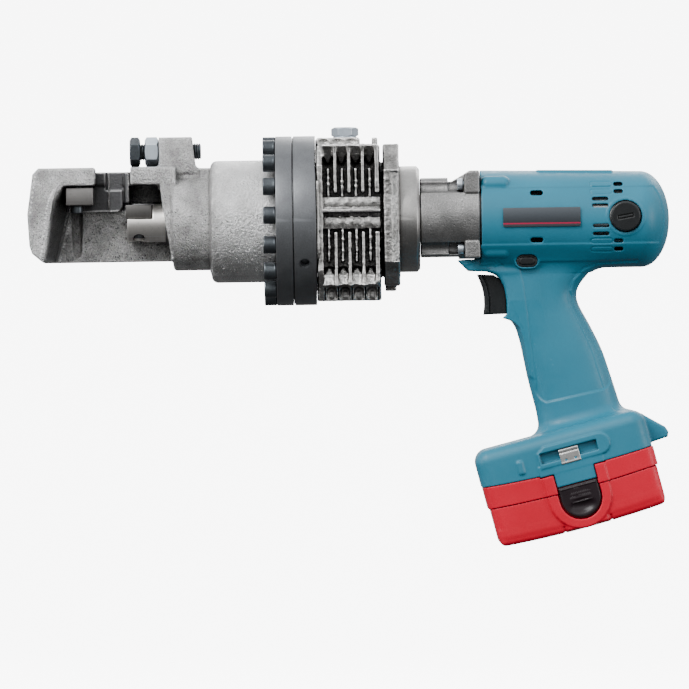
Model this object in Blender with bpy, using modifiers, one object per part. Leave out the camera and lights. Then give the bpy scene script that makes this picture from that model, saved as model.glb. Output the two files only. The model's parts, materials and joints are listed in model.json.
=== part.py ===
"""Cordless hydraulic rebar cutter, as an assembly of separate parts.

Metres, +Z up. Parts are laid out about the piston axis: X runs along it from the fixed
cutter's cutting face towards the motor, and Y = 0 is the plane of symmetry. The nose points
to -X, so the tool's left side is at -Y. At the end everything is moved so that the world
origin is the centre of the tool's bounding box.
"""
import math

import bpy
from mathutils import Matrix, Vector

# Driving dimensions
GAP = 0.0003                # clearance between neighbouring parts
NOSE_X = -0.0463            # foremost point of the head
REAR_X = 0.4029             # rearmost point of the motor housing
TOP_Z = 0.0650              # top of the oil plug
BOTTOM_Z = -0.2291          # lowest corner of the battery

HEAD_TOP = 0.0390
HEAD_BOTTOM = -0.0270
HEAD_NEAR = -0.0240         # open side of the head
HEAD_FAR = 0.0300           # back of the spine
MOUTH_DEPTH = 0.0110        # front face of the spine
NECK_X = 0.0500             # where the head meets the barrel
SLOT_REAR = 0.0265          # the bar slot is from X = 0 to here
CUTTER_HEIGHT = 0.0123
SHEAR_Z = 0.0129            # the plane that the two cutters share
FIXED_SCREW_X = -0.0115
MOVING_SCREW_X = 0.0312
CUTTER_SCREW_R = 0.0024
CUTTER_HOLE_R = 0.0028
STOPPER_Z = 0.0496          # axis of the stopper bolt

ROD_R = 0.0135
ROD_FRONT = 0.0235
PISTON_R = 0.0270
PISTON_FRONT = 0.1120
PISTON_REAR = 0.1280
BARREL_FRONT_R = 0.0337
BARREL_STEP_X = 0.0820
BARREL_R = 0.0427
FLANGE_X = 0.1276           # front face of the dark flange ring
FLANGE_R = 0.0592
FLANGE_THICK = 0.0116
CASE_X = 0.1402             # front face of the pump case
CASE_END = 0.1555
SCREW_COUNT = 16
SCREW_CIRCLE = 0.0530
SCREW_TURN = math.radians(18.7)     # where the first screw sits on the circle
SCREW_HEAD_R = 0.0065
SCREW_HEAD_LONG = 0.0088

FIN_START = 0.1563
FIN_END = 0.2009
FIN_HALF = 0.0500           # half width of the fins
FIN_COUNT = 8
FIN_THICK = 0.0018
TANK_R = 0.0370
PUMP_X = 0.1700             # plane of the pump plungers
ECCENTRICITY = 0.0020
COVER_END = 0.2137
COLLAR_END = 0.2280
COLLAR_R = 0.0371
SHAFT_R = 0.0080

GEAR_CASE_END = 0.2700
GEAR_CASE_R = 0.0280
GEAR_MODULE = 0.0010
SUN_TEETH = 12
PLANET_TEETH = 12
RING_TEETH = 36
PLANET_ORBIT = GEAR_MODULE * (SUN_TEETH + PLANET_TEETH) / 2
GEAR_START = 0.2375
GEAR_END = 0.2475

MOTOR_SHAFT_R = 0.0030
MOTOR_CAN_R = 0.0255
HOUSING_X = 0.2705
HOUSING_Z = -0.0014         # centre height of the motor housing's barrel
HOUSING_R = 0.0347
WALL = 0.0030
BRUSH_X = 0.3714
BRUSH_Z = -0.0005
LOCK_X = 0.3023
LOCK_Z = -0.0305
FOOT_HALF = 0.0418          # half width of the foot

BATTERY_TILT = math.radians(14.3)
BATTERY_CORNER = Vector((0.2686, 0.0, -0.1877))     # front end of the seam with the foot
BATTERY_LONG = 0.1225
BATTERY_DEEP = 0.0445
BATTERY_HALF = 0.0420
LID_DEEP = 0.0170
LID_FRONT = -0.0001         # the lid's top edge at each end, just below the foot
LID_REAR = -0.0028
TONGUE_START = 0.0500       # the foot's tongue and the latch, along the battery
TONGUE_END = 0.0790
TONGUE_DEEP = 0.0145

ROBUST = "MANIFOLD"         # Boolean solver where the exact one leaves open edges

CENTRE = Vector(((NOSE_X + REAR_X) / 2, 0.0, (TOP_Z + BOTTOM_Z) / 2))

# name: (colour, roughness, metallic)
FINISHES = {
    "cast_steel": ((0.46, 0.45, 0.44), 0.55, 0.8),
    "cast_aluminium": ((0.52, 0.51, 0.49), 0.5, 0.85),
    "dark_steel": ((0.09, 0.095, 0.10), 0.4, 0.9),
    "machined_steel": ((0.58, 0.57, 0.55), 0.3, 1.0),
    "tool_steel": ((0.42, 0.40, 0.38), 0.35, 1.0),
    "zinc_steel": ((0.56, 0.62, 0.68), 0.3, 0.9),
    "black_screw": ((0.03, 0.035, 0.04), 0.35, 0.8),
    "copper": ((0.72, 0.35, 0.20), 0.4, 1.0),
    "carbon": ((0.04, 0.04, 0.04), 0.7, 0.1),
    "seal_rubber": ((0.02, 0.02, 0.02), 0.8, 0.0),
    "teal_plastic": ((0.045, 0.24, 0.35), 0.45, 0.0),
    "red_plastic": ((0.60, 0.015, 0.04), 0.4, 0.0),
    "black_plastic": ((0.02, 0.02, 0.022), 0.5, 0.0),
    "grey_label": ((0.12, 0.13, 0.15), 0.4, 0.1),
    "cell_wrap": ((0.10, 0.22, 0.12), 0.5, 0.0),
}


# ---------------------------------------------------------------- tools


def clear_scene():
    for obj in list(bpy.data.objects):
        bpy.data.objects.remove(obj, do_unlink=True)


def make_collection(name):
    collection = bpy.data.collections.new(name)
    bpy.context.scene.collection.children.link(collection)
    return collection


def make_materials():
    for name, (colour, roughness, metallic) in FINISHES.items():
        material = bpy.data.materials.new(name)
        material.use_nodes = True
        shader = material.node_tree.nodes["Principled BSDF"]
        shader.inputs["Base Color"].default_value = (*colour, 1.0)
        shader.inputs["Roughness"].default_value = roughness
        shader.inputs["Metallic"].default_value = metallic
        material.diffuse_color = (*colour, 1.0)


def bake(obj):
    """Put the object's modifiers and transform into its mesh."""
    bpy.context.view_layer.update()
    evaluated = obj.evaluated_get(bpy.context.evaluated_depsgraph_get())
    mesh = bpy.data.meshes.new_from_object(evaluated)
    mesh.transform(obj.matrix_world)
    if obj.type == "CURVE":
        solid = bpy.data.objects.new(obj.name, mesh)
        bpy.context.scene.collection.objects.link(solid)
        bpy.data.objects.remove(obj, do_unlink=True)
        return solid
    obj.modifiers.clear()
    obj.data = mesh
    obj.matrix_world = Matrix.Identity(4)
    return obj


def weld(obj):
    modifier = obj.modifiers.new("weld", "WELD")
    modifier.merge_threshold = 0.00001
    return bake(obj)


def combine(target, tool, operation, solver):
    modifier = target.modifiers.new(operation.lower(), "BOOLEAN")
    modifier.operation = operation
    modifier.solver = solver
    modifier.object = tool
    bake(target)
    bpy.data.objects.remove(tool, do_unlink=True)
    return target


def cut(target, *tools, solver="EXACT"):
    for tool in tools:
        combine(target, tool, "DIFFERENCE", solver)
    return target


def join(target, *tools, solver="EXACT"):
    for tool in tools:
        combine(target, tool, "UNION", solver)
    return target


def keep(target, tool, solver="EXACT"):
    return combine(target, tool, "INTERSECT", solver)


def round_edges(obj, width, segments=2, angle=35):
    modifier = obj.modifiers.new("round", "BEVEL")
    modifier.width = width
    modifier.segments = segments
    modifier.limit_method = "ANGLE"
    modifier.angle_limit = math.radians(angle)
    return bake(obj)


def copy_of(obj):
    duplicate = bpy.data.objects.new(obj.name + "_copy", obj.data.copy())
    bpy.context.scene.collection.objects.link(duplicate)
    return duplicate


def moved(obj, offset=(0, 0, 0), turn=0.0, axis="X", about=(0, 0, 0)):
    """Turn the mesh about an axis through a point, then shift it."""
    pivot = Vector(about)
    place = Matrix.Translation(pivot + Vector(offset))
    obj.data.transform(place @ Matrix.Rotation(turn, 4, axis) @ Matrix.Translation(-pivot))
    return obj


def box(low, high):
    low, high = Vector(low), Vector(high)
    bpy.ops.mesh.primitive_cube_add(size=1, location=(low + high) / 2)
    obj = bpy.context.object
    obj.scale = high - low
    return bake(obj)


def rod(start, end, radius, sides=24, turn=0.0):
    """Cylinder or prism between two points."""
    start, end = Vector(start), Vector(end)
    bpy.ops.mesh.primitive_cylinder_add(
        vertices=sides, radius=radius, depth=(end - start).length, location=(start + end) / 2)
    obj = bpy.context.object
    obj.rotation_mode = "QUATERNION"
    upright = Matrix.Rotation(turn, 4, "Z").to_quaternion()
    obj.rotation_quaternion = (end - start).to_track_quat("Z", "Y") @ upright
    return bake(obj)


def signed_area(points):
    pairs = zip(points, points[1:] + points[:1])
    return sum(a[0] * b[1] - b[0] * a[1] for a, b in pairs) / 2


def turned(outline, steps=28, centre=(0.0, 0.0), axis="X"):
    """Solid of revolution. The outline holds (distance along the axis, radius) points."""
    points = list(outline)
    if signed_area(points) < 0:
        points.reverse()
    mesh = bpy.data.meshes.new("profile")
    count = len(points)
    closed = all(radius > 0 for _, radius in points)
    if not closed:
        first = next(i for i in range(count) if points[i][1] == points[i - 1][1] == 0)
        points = points[first:] + points[:first]
    edges = [(i, (i + 1) % count) for i in range(count if closed else count - 1)]
    mesh.from_pydata([(radius, 0, along) for along, radius in points], edges, [])
    obj = bpy.data.objects.new("turned", mesh)
    bpy.context.scene.collection.objects.link(obj)
    screw = obj.modifiers.new("turn", "SCREW")
    screw.steps = steps
    screw.render_steps = steps
    screw.use_merge_vertices = True
    screw.merge_threshold = 0.00001
    if axis == "X":
        obj.matrix_world = Matrix.Translation((0, *centre)) @ Matrix.Rotation(math.pi / 2, 4, "Y")
    elif axis == "Y":
        obj.matrix_world = (Matrix.Translation((centre[0], 0, centre[1]))
                            @ Matrix.Rotation(-math.pi / 2, 4, "X"))
    else:
        obj.matrix_world = Matrix.Translation((*centre, 0))
    return bake(obj)


def rounded(corners, steps=3):
    """Outline points for (x, z, corner radius) corners, each rounded with a true arc."""
    points = []
    count = len(corners)
    for index, (x, z, radius) in enumerate(corners):
        corner = Vector((x, z))
        if radius == 0:
            points.append((x, z))
            continue
        before = (Vector(corners[index - 1][:2]) - corner).normalized()
        after = (Vector(corners[(index + 1) % count][:2]) - corner).normalized()
        half = before.angle(after) / 2
        centre = corner + (before + after).normalized() * radius / math.sin(half)
        reach = radius / math.tan(half)
        first = corner + before * reach - centre
        sweep = first.angle_signed(corner + after * reach - centre)
        for step in range(steps + 1):
            angle = -sweep * step / steps
            turn = Matrix.Rotation(angle, 2)
            points.append(tuple(centre + turn @ first))
    return points


def plate(outline, low, high, axis="Y"):
    """Flat outline given thickness from low to high along an axis.

    The outline is in (X, Z) for a plate across Y, and in (Y, Z) for a plate across X.
    """
    curve = bpy.data.curves.new("outline", "CURVE")
    curve.dimensions = "2D"
    curve.fill_mode = "BOTH"
    curve.extrude = (high - low) / 2
    spline = curve.splines.new("POLY")
    spline.points.add(len(outline) - 1)
    for point, (x, y) in zip(spline.points, outline):
        point.co = (x, y, 0, 1)
    spline.use_cyclic_u = True
    obj = bpy.data.objects.new("plate", curve)
    bpy.context.scene.collection.objects.link(obj)
    middle = (high + low) / 2
    if axis == "Y":
        obj.matrix_world = (Matrix.Translation((0, middle, 0))
                            @ Matrix.Rotation(math.pi / 2, 4, "X"))
    else:
        basis = Matrix(((0, 0, 1), (1, 0, 0), (0, 1, 0))).to_4x4()
        obj.matrix_world = Matrix.Translation((middle, 0, 0)) @ basis
    return weld(bake(obj))


def loft(sections, points=18, shrink=0.0):
    """Skin over level rounded sections: (height, front X, rear X, half width) from the top."""
    mesh = bpy.data.meshes.new("loft")
    vertices = []
    for height, front, rear, half in sections:
        middle, reach = (front + rear) / 2, (rear - front) / 2 - shrink
        for index in range(points):
            angle = 2 * math.pi * index / points
            along, across = math.cos(angle), math.sin(angle)
            # a superellipse, a little squarer than an ellipse
            x = math.copysign(abs(along) ** 0.8, along) * reach
            y = math.copysign(abs(across) ** 0.8, across) * (half - shrink)
            vertices.append((middle + x, y, height))
    faces = [tuple(range(points)),
             tuple(reversed(range(len(vertices) - points, len(vertices))))]
    for ring in range(len(sections) - 1):
        for index in range(points):
            a = ring * points + index
            b = ring * points + (index + 1) % points
            faces.append((a, a + points, b + points, b))
    mesh.from_pydata(vertices, [], faces)
    obj = bpy.data.objects.new("loft", mesh)
    bpy.context.scene.collection.objects.link(obj)
    return obj


def on_battery(obj):
    """Move a solid modelled in the battery's own frame to its place.

    There X runs along the seam from its front end, and Z is up, square to the seam.
    """
    obj.data.transform(Matrix.Translation(BATTERY_CORNER) @ Matrix.Rotation(-BATTERY_TILT, 4, "Y"))
    return obj


def finish(obj, name, material, origin=(0, 0, 0), smooth=True):
    """Name a part, give it its material and put its origin on its joint's axis."""
    origin = Vector(origin)
    obj.data.transform(Matrix.Translation(-origin))
    obj.location = origin
    obj.name = name
    obj.data.name = name
    obj.data.materials.clear()
    obj.data.materials.append(bpy.data.materials[material])
    for polygon in obj.data.polygons:
        polygon.material_index = 0
    if smooth:
        obj.data.shade_smooth()
        obj.data.set_sharp_from_angle(angle=math.radians(35))
    for collection in list(obj.users_collection):
        collection.objects.unlink(obj)
    bpy.data.collections["rebar_cutter"].objects.link(obj)
    return obj


# ---------------------------------------------------------------- head and cylinder


def make_head():
    head = plate(rounded([
        (NOSE_X, 0.0050, 0.010), (-0.0452, -0.0140, 0.004), (-0.0360, HEAD_BOTTOM, 0.008),
        (0.0600, HEAD_BOTTOM, 0), (0.0600, HEAD_TOP, 0), (-0.0425, HEAD_TOP, 0.007)]),
        HEAD_NEAR, HEAD_FAR)
    head = round_edges(head, 0.0020, 1, 50)
    cut(head, plate([
        (0.0013, 0.060), (0.0013, 0.0254), (-0.0200, 0.0254), (-0.0270, 0.0150),
        (-0.0300, 0.0027), (-0.0345, -0.040), (NECK_X + 0.002, -0.040),
        (NECK_X + 0.002, 0.0268), (SLOT_REAR, 0.0268), (SLOT_REAR, 0.060)],
        HEAD_NEAR - 0.010, MOUTH_DEPTH), solver=ROBUST)
    cut(head, plate([
        (-0.0280, 0.0085), (-0.0330, -0.040), (NECK_X + 0.002, -0.040),
        (NECK_X + 0.002, 0.0085)], 0, MOUTH_DEPTH + 0.0040), solver=ROBUST)
    cut(head, rod((-0.026, 0, 0), (NECK_X + 0.002, 0, 0), ROD_R + 0.0008, 24), solver=ROBUST)
    # barrel, with the rod's guide, the wiper's seat, the piston's bore and the clamped shoulder
    join(head, turned([
        (FLANGE_X + FLANGE_THICK, BARREL_R + 0.0040), (FLANGE_X + 0.0080, BARREL_R + 0.0040),
        (FLANGE_X + 0.0080, BARREL_R), (BARREL_STEP_X + 0.003, BARREL_R),
        (BARREL_STEP_X, BARREL_R - 0.003), (BARREL_STEP_X - 0.003, BARREL_FRONT_R),
        (0.0575, BARREL_FRONT_R), (0.0545, BARREL_FRONT_R - 0.003), (NECK_X, 0.0250),
        (NECK_X, ROD_R + 0.0034), (0.0550, ROD_R + 0.0034), (0.0550, ROD_R + 0.0004),
        (0.0660, ROD_R + 0.0004), (0.0660, PISTON_R + 0.0004),
        (FLANGE_X + FLANGE_THICK, PISTON_R + 0.0004)]), solver=ROBUST)
    cut(head, turned([
        (0.0670, 0), (0.0670, ROD_R + 0.0004), (0.0550, ROD_R + 0.0004),
        (0.0550, ROD_R + 0.0034), (0.0450, ROD_R + 0.0034), (0.0450, 0)]), solver=ROBUST)
    ledge = plate([
        (SLOT_REAR + GAP, 0.0270), (0.0500, 0.0270), (0.0620, 0.0230), (0.0800, 0.0230),
        (0.0790, 0.0384), (SLOT_REAR + GAP, 0.0384)], HEAD_NEAR + 0.0006, 0.0200)
    join(head, round_edges(ledge, 0.0015, 1, 50), solver=ROBUST)
    boss = plate(rounded([
        (0.0464, 0.0300, 0), (0.0760, 0.0300, 0), (0.0720, 0.0400, 0.003),
        (0.0685, 0.0599, 0.003), (0.0464, 0.0599, 0.002)]), -0.0130, 0.0130)
    join(head, round_edges(boss, 0.0020, 1, 50), solver=ROBUST)
    cut(head, rod((0.040, 0, STOPPER_Z), (0.080, 0, STOPPER_Z), 0.0063, 20),
        solver=ROBUST)
    cut(head, rod((FIXED_SCREW_X, -0.006, 0.0200), (FIXED_SCREW_X, -0.006, 0.0350),
                  CUTTER_HOLE_R, 12),
        solver=ROBUST)
    finish(head, "head_casting", "cast_steel")


def cap_screw(start, direction, head_r, head_long, shank_r, shank_long, sides=10):
    """Cap screw whose head starts at a point, with its shank in a direction."""
    start, direction = Vector(start), Vector(direction).normalized()
    seat = start + direction * head_long
    screw = rod(start, seat, head_r, sides)
    return join(screw, rod(seat - direction * 0.001, seat + direction * shank_long, shank_r, 6))


def key_socket(screw, start, direction, across, deep):
    """Cut a hexagonal key socket into a screw's head."""
    start, direction = Vector(start), Vector(direction).normalized()
    return cut(screw, rod(start - direction * 0.001, start + direction * deep, across / 2, 6))


def make_cutters():
    fixed = box((-0.0189, -0.0185, SHEAR_Z), (0.0, MOUTH_DEPTH - GAP, SHEAR_Z + CUTTER_HEIGHT))
    fixed = round_edges(fixed, 0.0005, 1)
    cut(fixed, rod((FIXED_SCREW_X, -0.006, 0), (FIXED_SCREW_X, -0.006, 0.04), CUTTER_HOLE_R, 12))
    finish(fixed, "fixed_cutter", "tool_steel")
    screw = cap_screw((FIXED_SCREW_X, -0.006, 0.0075), (0, 0, 1),
                      0.0042, SHEAR_Z - GAP - 0.0075, CUTTER_SCREW_R, 0.0180)
    key_socket(screw, (FIXED_SCREW_X, -0.006, 0.0075), (0, 0, 1), 0.0042, 0.0030)
    finish(screw, "fixed_cutter_screw", "black_screw")

    moving = box((0.0225, -0.0098, 0.0031), (0.0407, 0.0098, SHEAR_Z - GAP))
    moving = round_edges(moving, 0.0005, 1)
    cut(moving, rod((MOVING_SCREW_X, 0, -0.001), (MOVING_SCREW_X, 0, 0.02), CUTTER_HOLE_R, 12))
    finish(moving, "moving_cutter", "tool_steel")
    screw = cap_screw((MOVING_SCREW_X, 0, -0.0105), (0, 0, 1), 0.0042, 0.0050,
                      CUTTER_SCREW_R, 0.0160)
    key_socket(screw, (MOVING_SCREW_X, 0, -0.0105), (0, 0, 1), 0.0042, 0.0030)
    finish(screw, "moving_cutter_screw", "black_screw")


def make_piston():
    piston = turned([
        (PISTON_REAR, 0), (PISTON_REAR, PISTON_R), (0.1232, PISTON_R), (0.1232, 0.0238),
        (0.1180, 0.0238), (0.1180, PISTON_R), (PISTON_FRONT, PISTON_R),
        (PISTON_FRONT, ROD_R), (ROD_FRONT + 0.0012, ROD_R), (ROD_FRONT, ROD_R - 0.0012),
        (ROD_FRONT, 0)])
    cut(piston, box((ROD_FRONT - 0.01, -0.02, 0.0028), (0.0413, 0.02, 0.03)))
    hole = turned([(0.0040, 0), (0.0040, CUTTER_HOLE_R), (-0.0052, CUTTER_HOLE_R),
                   (-0.0052, 0.0047), (-0.0150, 0.0047), (-0.0150, 0)], 20, (MOVING_SCREW_X, 0), "Z")
    cut(piston, hole)
    finish(piston, "piston", "machined_steel")
    seal = turned([(0.1229, 0.0272), (0.1183, 0.0272), (0.1183, 0.0241), (0.1229, 0.0241)])
    finish(seal, "piston_seal", "seal_rubber")
    wiper = turned([(0.0547, ROD_R + 0.0030), (0.0503, ROD_R + 0.0030),
                    (0.0503, ROD_R + 0.0004), (0.0547, ROD_R + 0.0004)], 32)
    finish(wiper, "rod_wiper", "seal_rubber")


def make_return_spring():
    coil_r, wire_r, turns, points_per_turn = 0.0200, 0.0021, 6, 12
    first, last = 0.0685, PISTON_FRONT - 0.0026
    curve = bpy.data.curves.new("coil", "CURVE")
    curve.dimensions = "3D"
    curve.bevel_depth = wire_r
    curve.bevel_resolution = 0
    curve.use_fill_caps = True
    spline = curve.splines.new("POLY")
    count = turns * points_per_turn + 1
    spline.points.add(count - 1)
    for index, point in enumerate(spline.points):
        angle = 2 * math.pi * index / points_per_turn
        along = first + (last - first) * index / (count - 1)
        point.co = (along, coil_r * math.cos(angle), coil_r * math.sin(angle), 1)
    obj = bpy.data.objects.new("coil", curve)
    bpy.context.scene.collection.objects.link(obj)
    finish(weld(bake(obj)), "return_spring", "machined_steel")


def make_stopper():
    axis_point = Vector((0, 0, STOPPER_Z))
    bolt = rod(axis_point + Vector((0.0258, 0, 0)), axis_point + Vector((0.0331, 0, 0)),
               0.0105, 6, math.pi / 2)
    bolt = round_edges(bolt, 0.0008, 1)
    join(bolt, rod(axis_point + Vector((0.0325, 0, 0)), axis_point + Vector((0.0757, 0, 0)),
                   0.0056, 20))
    finish(bolt, "stopper_bolt", "black_screw", axis_point)
    nut = rod(axis_point + Vector((0.0364, 0, 0)), axis_point + Vector((0.0461, 0, 0)),
              0.0105, 6, math.pi / 2)
    nut = round_edges(nut, 0.0008, 1)
    cut(nut, rod(axis_point + Vector((0.03, 0, 0)), axis_point + Vector((0.05, 0, 0)),
                 0.0060, 20))
    finish(nut, "stopper_nut", "zinc_steel")


def ring_angles():
    return [SCREW_TURN + 2 * math.pi * index / SCREW_COUNT for index in range(SCREW_COUNT)]


def make_flange():
    ring = turned([
        (FLANGE_X + FLANGE_THICK, FLANGE_R - 0.001), (FLANGE_X + FLANGE_THICK - 0.001, FLANGE_R),
        (FLANGE_X + 0.001, FLANGE_R), (FLANGE_X, FLANGE_R - 0.001),
        (FLANGE_X, BARREL_R + GAP), (FLANGE_X + 0.0077, BARREL_R + GAP),
        (FLANGE_X + 0.0077, BARREL_R + 0.0043), (FLANGE_X + FLANGE_THICK, BARREL_R + 0.0043)], 40)
    case = turned([
        (CASE_END, FLANGE_R - 0.001), (CASE_END - 0.001, FLANGE_R), (CASE_X + 0.001, FLANGE_R),
        (CASE_X, FLANGE_R - 0.001), (CASE_X, 0), (CASE_END, 0)], 40)
    screws = turned([
        (FLANGE_X - GAP, SCREW_CIRCLE + 0.0035), (FLANGE_X - 0.0008, SCREW_CIRCLE + 0.0035),
        (FLANGE_X - 0.0008, SCREW_CIRCLE - 0.0035), (FLANGE_X - GAP, SCREW_CIRCLE - 0.0035)], 32)
    for angle in ring_angles():
        y, z = SCREW_CIRCLE * math.cos(angle), SCREW_CIRCLE * math.sin(angle)
        cut(ring, rod((FLANGE_X - 0.01, y, z), (CASE_X + 0.01, y, z), 0.0049, 6))
        cut(case, rod((CASE_X - 0.01, y, z), (CASE_X + 0.0105, y, z), 0.0049, 6))
        join(screws, cap_screw((FLANGE_X - GAP - SCREW_HEAD_LONG, y, z), (1, 0, 0),
                               SCREW_HEAD_R, SCREW_HEAD_LONG, 0.0040, 0.0210))
    port_angle = math.radians(31)
    inward = Vector((0, -math.cos(port_angle), -math.sin(port_angle)))
    cut(case, rod(Vector((0.1473, 0, 0)) + inward * 0.050, Vector((0.1473, 0, 0)) + inward * 0.065,
                  0.0033, 16))
    finish(ring, "flange_ring", "dark_steel")
    finish(case, "pump_case", "dark_steel")
    finish(screws, "flange_screws", "black_screw")


# ---------------------------------------------------------------- pump and oil housing


def make_fin_housing():
    body = plate(rounded([(-FIN_HALF, -0.0567, 0.020), (FIN_HALF, -0.0567, 0.020),
                          (FIN_HALF, 0.0520, 0.020), (-FIN_HALF, 0.0520, 0.020)]),
                 FIN_START, FIN_END, "X")
    join(body, box((FIN_START + 0.0005, -0.0240, 0.0400), (0.1870, 0.0240, 0.0575)))
    cut(body, box((0.1990, -0.0600, -0.0600), (0.2100, 0.0600, -0.0480)))
    # the bays between the fins, above and below a middle rib on both sides
    first = FIN_START + 0.0042
    pitch = (FIN_END - first) / FIN_COUNT
    for side in (-1, 1):
        near, far = sorted((side * 0.0390, side * 0.0600))
        for low, high in ((-0.0410, 0.0045), (0.0080, 0.0490)):
            for index in range(FIN_COUNT):
                start = first + pitch * index
                cut(body, box((start, near, low), (start + pitch - FIN_THICK, far, high)))
    cut(body, turned([(FIN_END + 0.01, 0), (FIN_END + 0.01, TANK_R), (0.1600, TANK_R),
                      (0.1600, 0)], 40))
    cut(body, rod((0.1765, 0, 0.03), (0.1765, 0, 0.07), 0.0066, 20))
    finish(body, "fin_housing", "cast_aluminium")

    plug = rod((0.1765, 0, 0.0591), (0.1765, 0, TOP_Z), 0.0096, 6, 0)
    plug = round_edges(plug, 0.0006, 1)
    join(plug, rod((0.1765, 0, 0.0470), (0.1765, 0, 0.0595), 0.0062, 20))
    finish(plug, "oil_plug", "zinc_steel")
    washer = turned([(0.0588, 0.0093), (0.0578, 0.0093), (0.0578, 0.0067), (0.0588, 0.0067)],
                    24, (0.1765, 0), "Z")
    finish(washer, "oil_plug_washer", "copper")


def make_tank_cover():
    cover = plate(rounded([(-0.0480, -0.0300, 0.006), (-0.0300, -0.0466, 0.006),
                           (0.0300, -0.0466, 0.006), (0.0480, -0.0300, 0.006),
                           (0.0480, 0.0340, 0.006), (0.0280, 0.0525, 0.006),
                           (-0.0280, 0.0525, 0.006), (-0.0480, 0.0340, 0.006)], 2),
                  FIN_END + GAP, COVER_END, "X")
    join(cover, box((0.2035, -0.0100, -0.0502), (0.2110, 0.0100, -0.0400)))
    cut(cover, rod((0.19, 0, 0), (0.23, 0, 0), 0.0100, 32))
    finish(cover, "tank_cover", "cast_aluminium")

    collar = turned([(COLLAR_END, COLLAR_R - 0.002), (COLLAR_END - 0.002, COLLAR_R),
                     (COVER_END + GAP, COLLAR_R), (COVER_END + GAP, 0.0100),
                     (0.2160, 0.0100), (0.2160, 0.0174), (COLLAR_END, 0.0174)])
    finish(collar, "bearing_collar", "machined_steel")
    bearing = turned([(0.2272, 0.0171), (0.2163, 0.0171), (0.2163, SHAFT_R + GAP),
                      (0.2272, SHAFT_R + GAP)], 32)
    finish(bearing, "main_bearing", "machined_steel")


def make_pump():
    block = turned([(0.1840, 0.0350), (0.1603, 0.0350), (0.1603, 0.0054), (0.1640, 0.0054),
                    (0.1640, 0.0165), (0.1840, 0.0165)], 28)
    for side in (-1, 1):
        cut(block, rod((PUMP_X, side * 0.010, 0), (PUMP_X, side * 0.045, 0), 0.0039, 16))
    finish(block, "pump_block", "machined_steel")
    for side, name in ((-1, "pump_plunger_left"), (1, "pump_plunger_right")):
        plunger = rod((PUMP_X, side * 0.0158, 0), (PUMP_X, side * 0.0330, 0), 0.0035, 16)
        finish(plunger, name, "machined_steel")

    off_centre = (0.0, ECCENTRICITY)
    shaft = turned([(0.2368, 0), (0.2368, 0.0170), (0.2330, 0.0170), (0.2330, SHAFT_R),
                    (0.1760, SHAFT_R), (0.1760, 0.0050), (0.1606, 0.0050), (0.1606, 0)], 20)
    lobe = turned([(0.1745, 0), (0.1745, 0.0078), (0.1650, 0.0078), (0.1650, 0)], 20, off_centre)
    join(shaft, lobe)
    for angle in planet_angles():
        centre = orbit_point(angle)
        join(shaft, rod((0.2360, *centre), (0.2490, *centre), 0.0022, 8))
    finish(shaft, "eccentric_shaft", "machined_steel")
    ring = turned([(0.1742, 0.0130), (0.1653, 0.0130), (0.1653, 0.0081), (0.1742, 0.0081)],
                  32, off_centre)
    finish(ring, "cam_bearing", "machined_steel")


# ---------------------------------------------------------------- gears and motor


def planet_angles():
    return [2 * math.pi * index / 3 for index in range(3)]


def orbit_point(angle):
    """(Y, Z) of a planet's centre, for an angle from +Z towards +Y."""
    return PLANET_ORBIT * math.sin(angle), PLANET_ORBIT * math.cos(angle)


def gear_outline(teeth, inner, outer, internal=False, turn=0.0):
    """(Y, Z) outline of a spur gear with involute flanks and backlash, a tooth on +Z."""
    pressure = math.radians(20)
    pitch_r = GEAR_MODULE * teeth / 2
    base_r = pitch_r * math.cos(pressure)
    slack = 0.06 * math.pi / teeth
    sign = -1 if internal else 1

    def half_angle(radius):
        local = math.acos(min(1.0, base_r / radius))
        shift = math.tan(pressure) - pressure - (math.tan(local) - local)
        return math.pi / (2 * teeth) - slack + sign * shift

    root, tip = (outer, inner) if internal else (inner, outer)
    outline = []
    for tooth in range(teeth):
        middle = turn + 2 * math.pi * tooth / teeth
        flank = [(root, -half_angle(root)), (tip, -half_angle(tip)),
                 (tip, half_angle(tip)), (root, half_angle(root))]
        for radius, offset in flank:
            angle = middle + offset
            outline.append((radius * math.sin(angle), radius * math.cos(angle)))
    return outline


def make_gears():
    sun_r = GEAR_MODULE * SUN_TEETH / 2
    ring_r = GEAR_MODULE * RING_TEETH / 2
    sun = plate(gear_outline(SUN_TEETH, sun_r - 0.00115, sun_r + 0.0008),
                GEAR_START, GEAR_END + 0.001, "X")
    cut(sun, rod((0.2, 0, 0), (0.3, 0, 0), MOTOR_SHAFT_R + GAP, 12))
    finish(sun, "sun_gear", "machined_steel")

    half_tooth = math.pi / PLANET_TEETH
    for index, angle in enumerate(planet_angles(), 1):
        planet = plate(gear_outline(PLANET_TEETH, sun_r - 0.00115, sun_r + 0.0008,
                                    turn=angle + half_tooth), GEAR_START, GEAR_END, "X")
        centre = orbit_point(angle)
        moved(planet, (0, *centre))
        cut(planet, rod((0.2, *centre), (0.3, *centre), 0.0026, 10))
        finish(planet, "planet_gear_%d" % index, "machined_steel", (GEAR_START, *centre))

    ring = rod((GEAR_START - 0.0005, 0, 0), (GEAR_END + 0.0005, 0, 0), 0.0218, 24)
    cut(ring, plate(gear_outline(RING_TEETH, ring_r - 0.0007, ring_r + 0.00115, True),
                    GEAR_START - 0.01, GEAR_END + 0.01, "X"))
    finish(ring, "ring_gear", "machined_steel")


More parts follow.
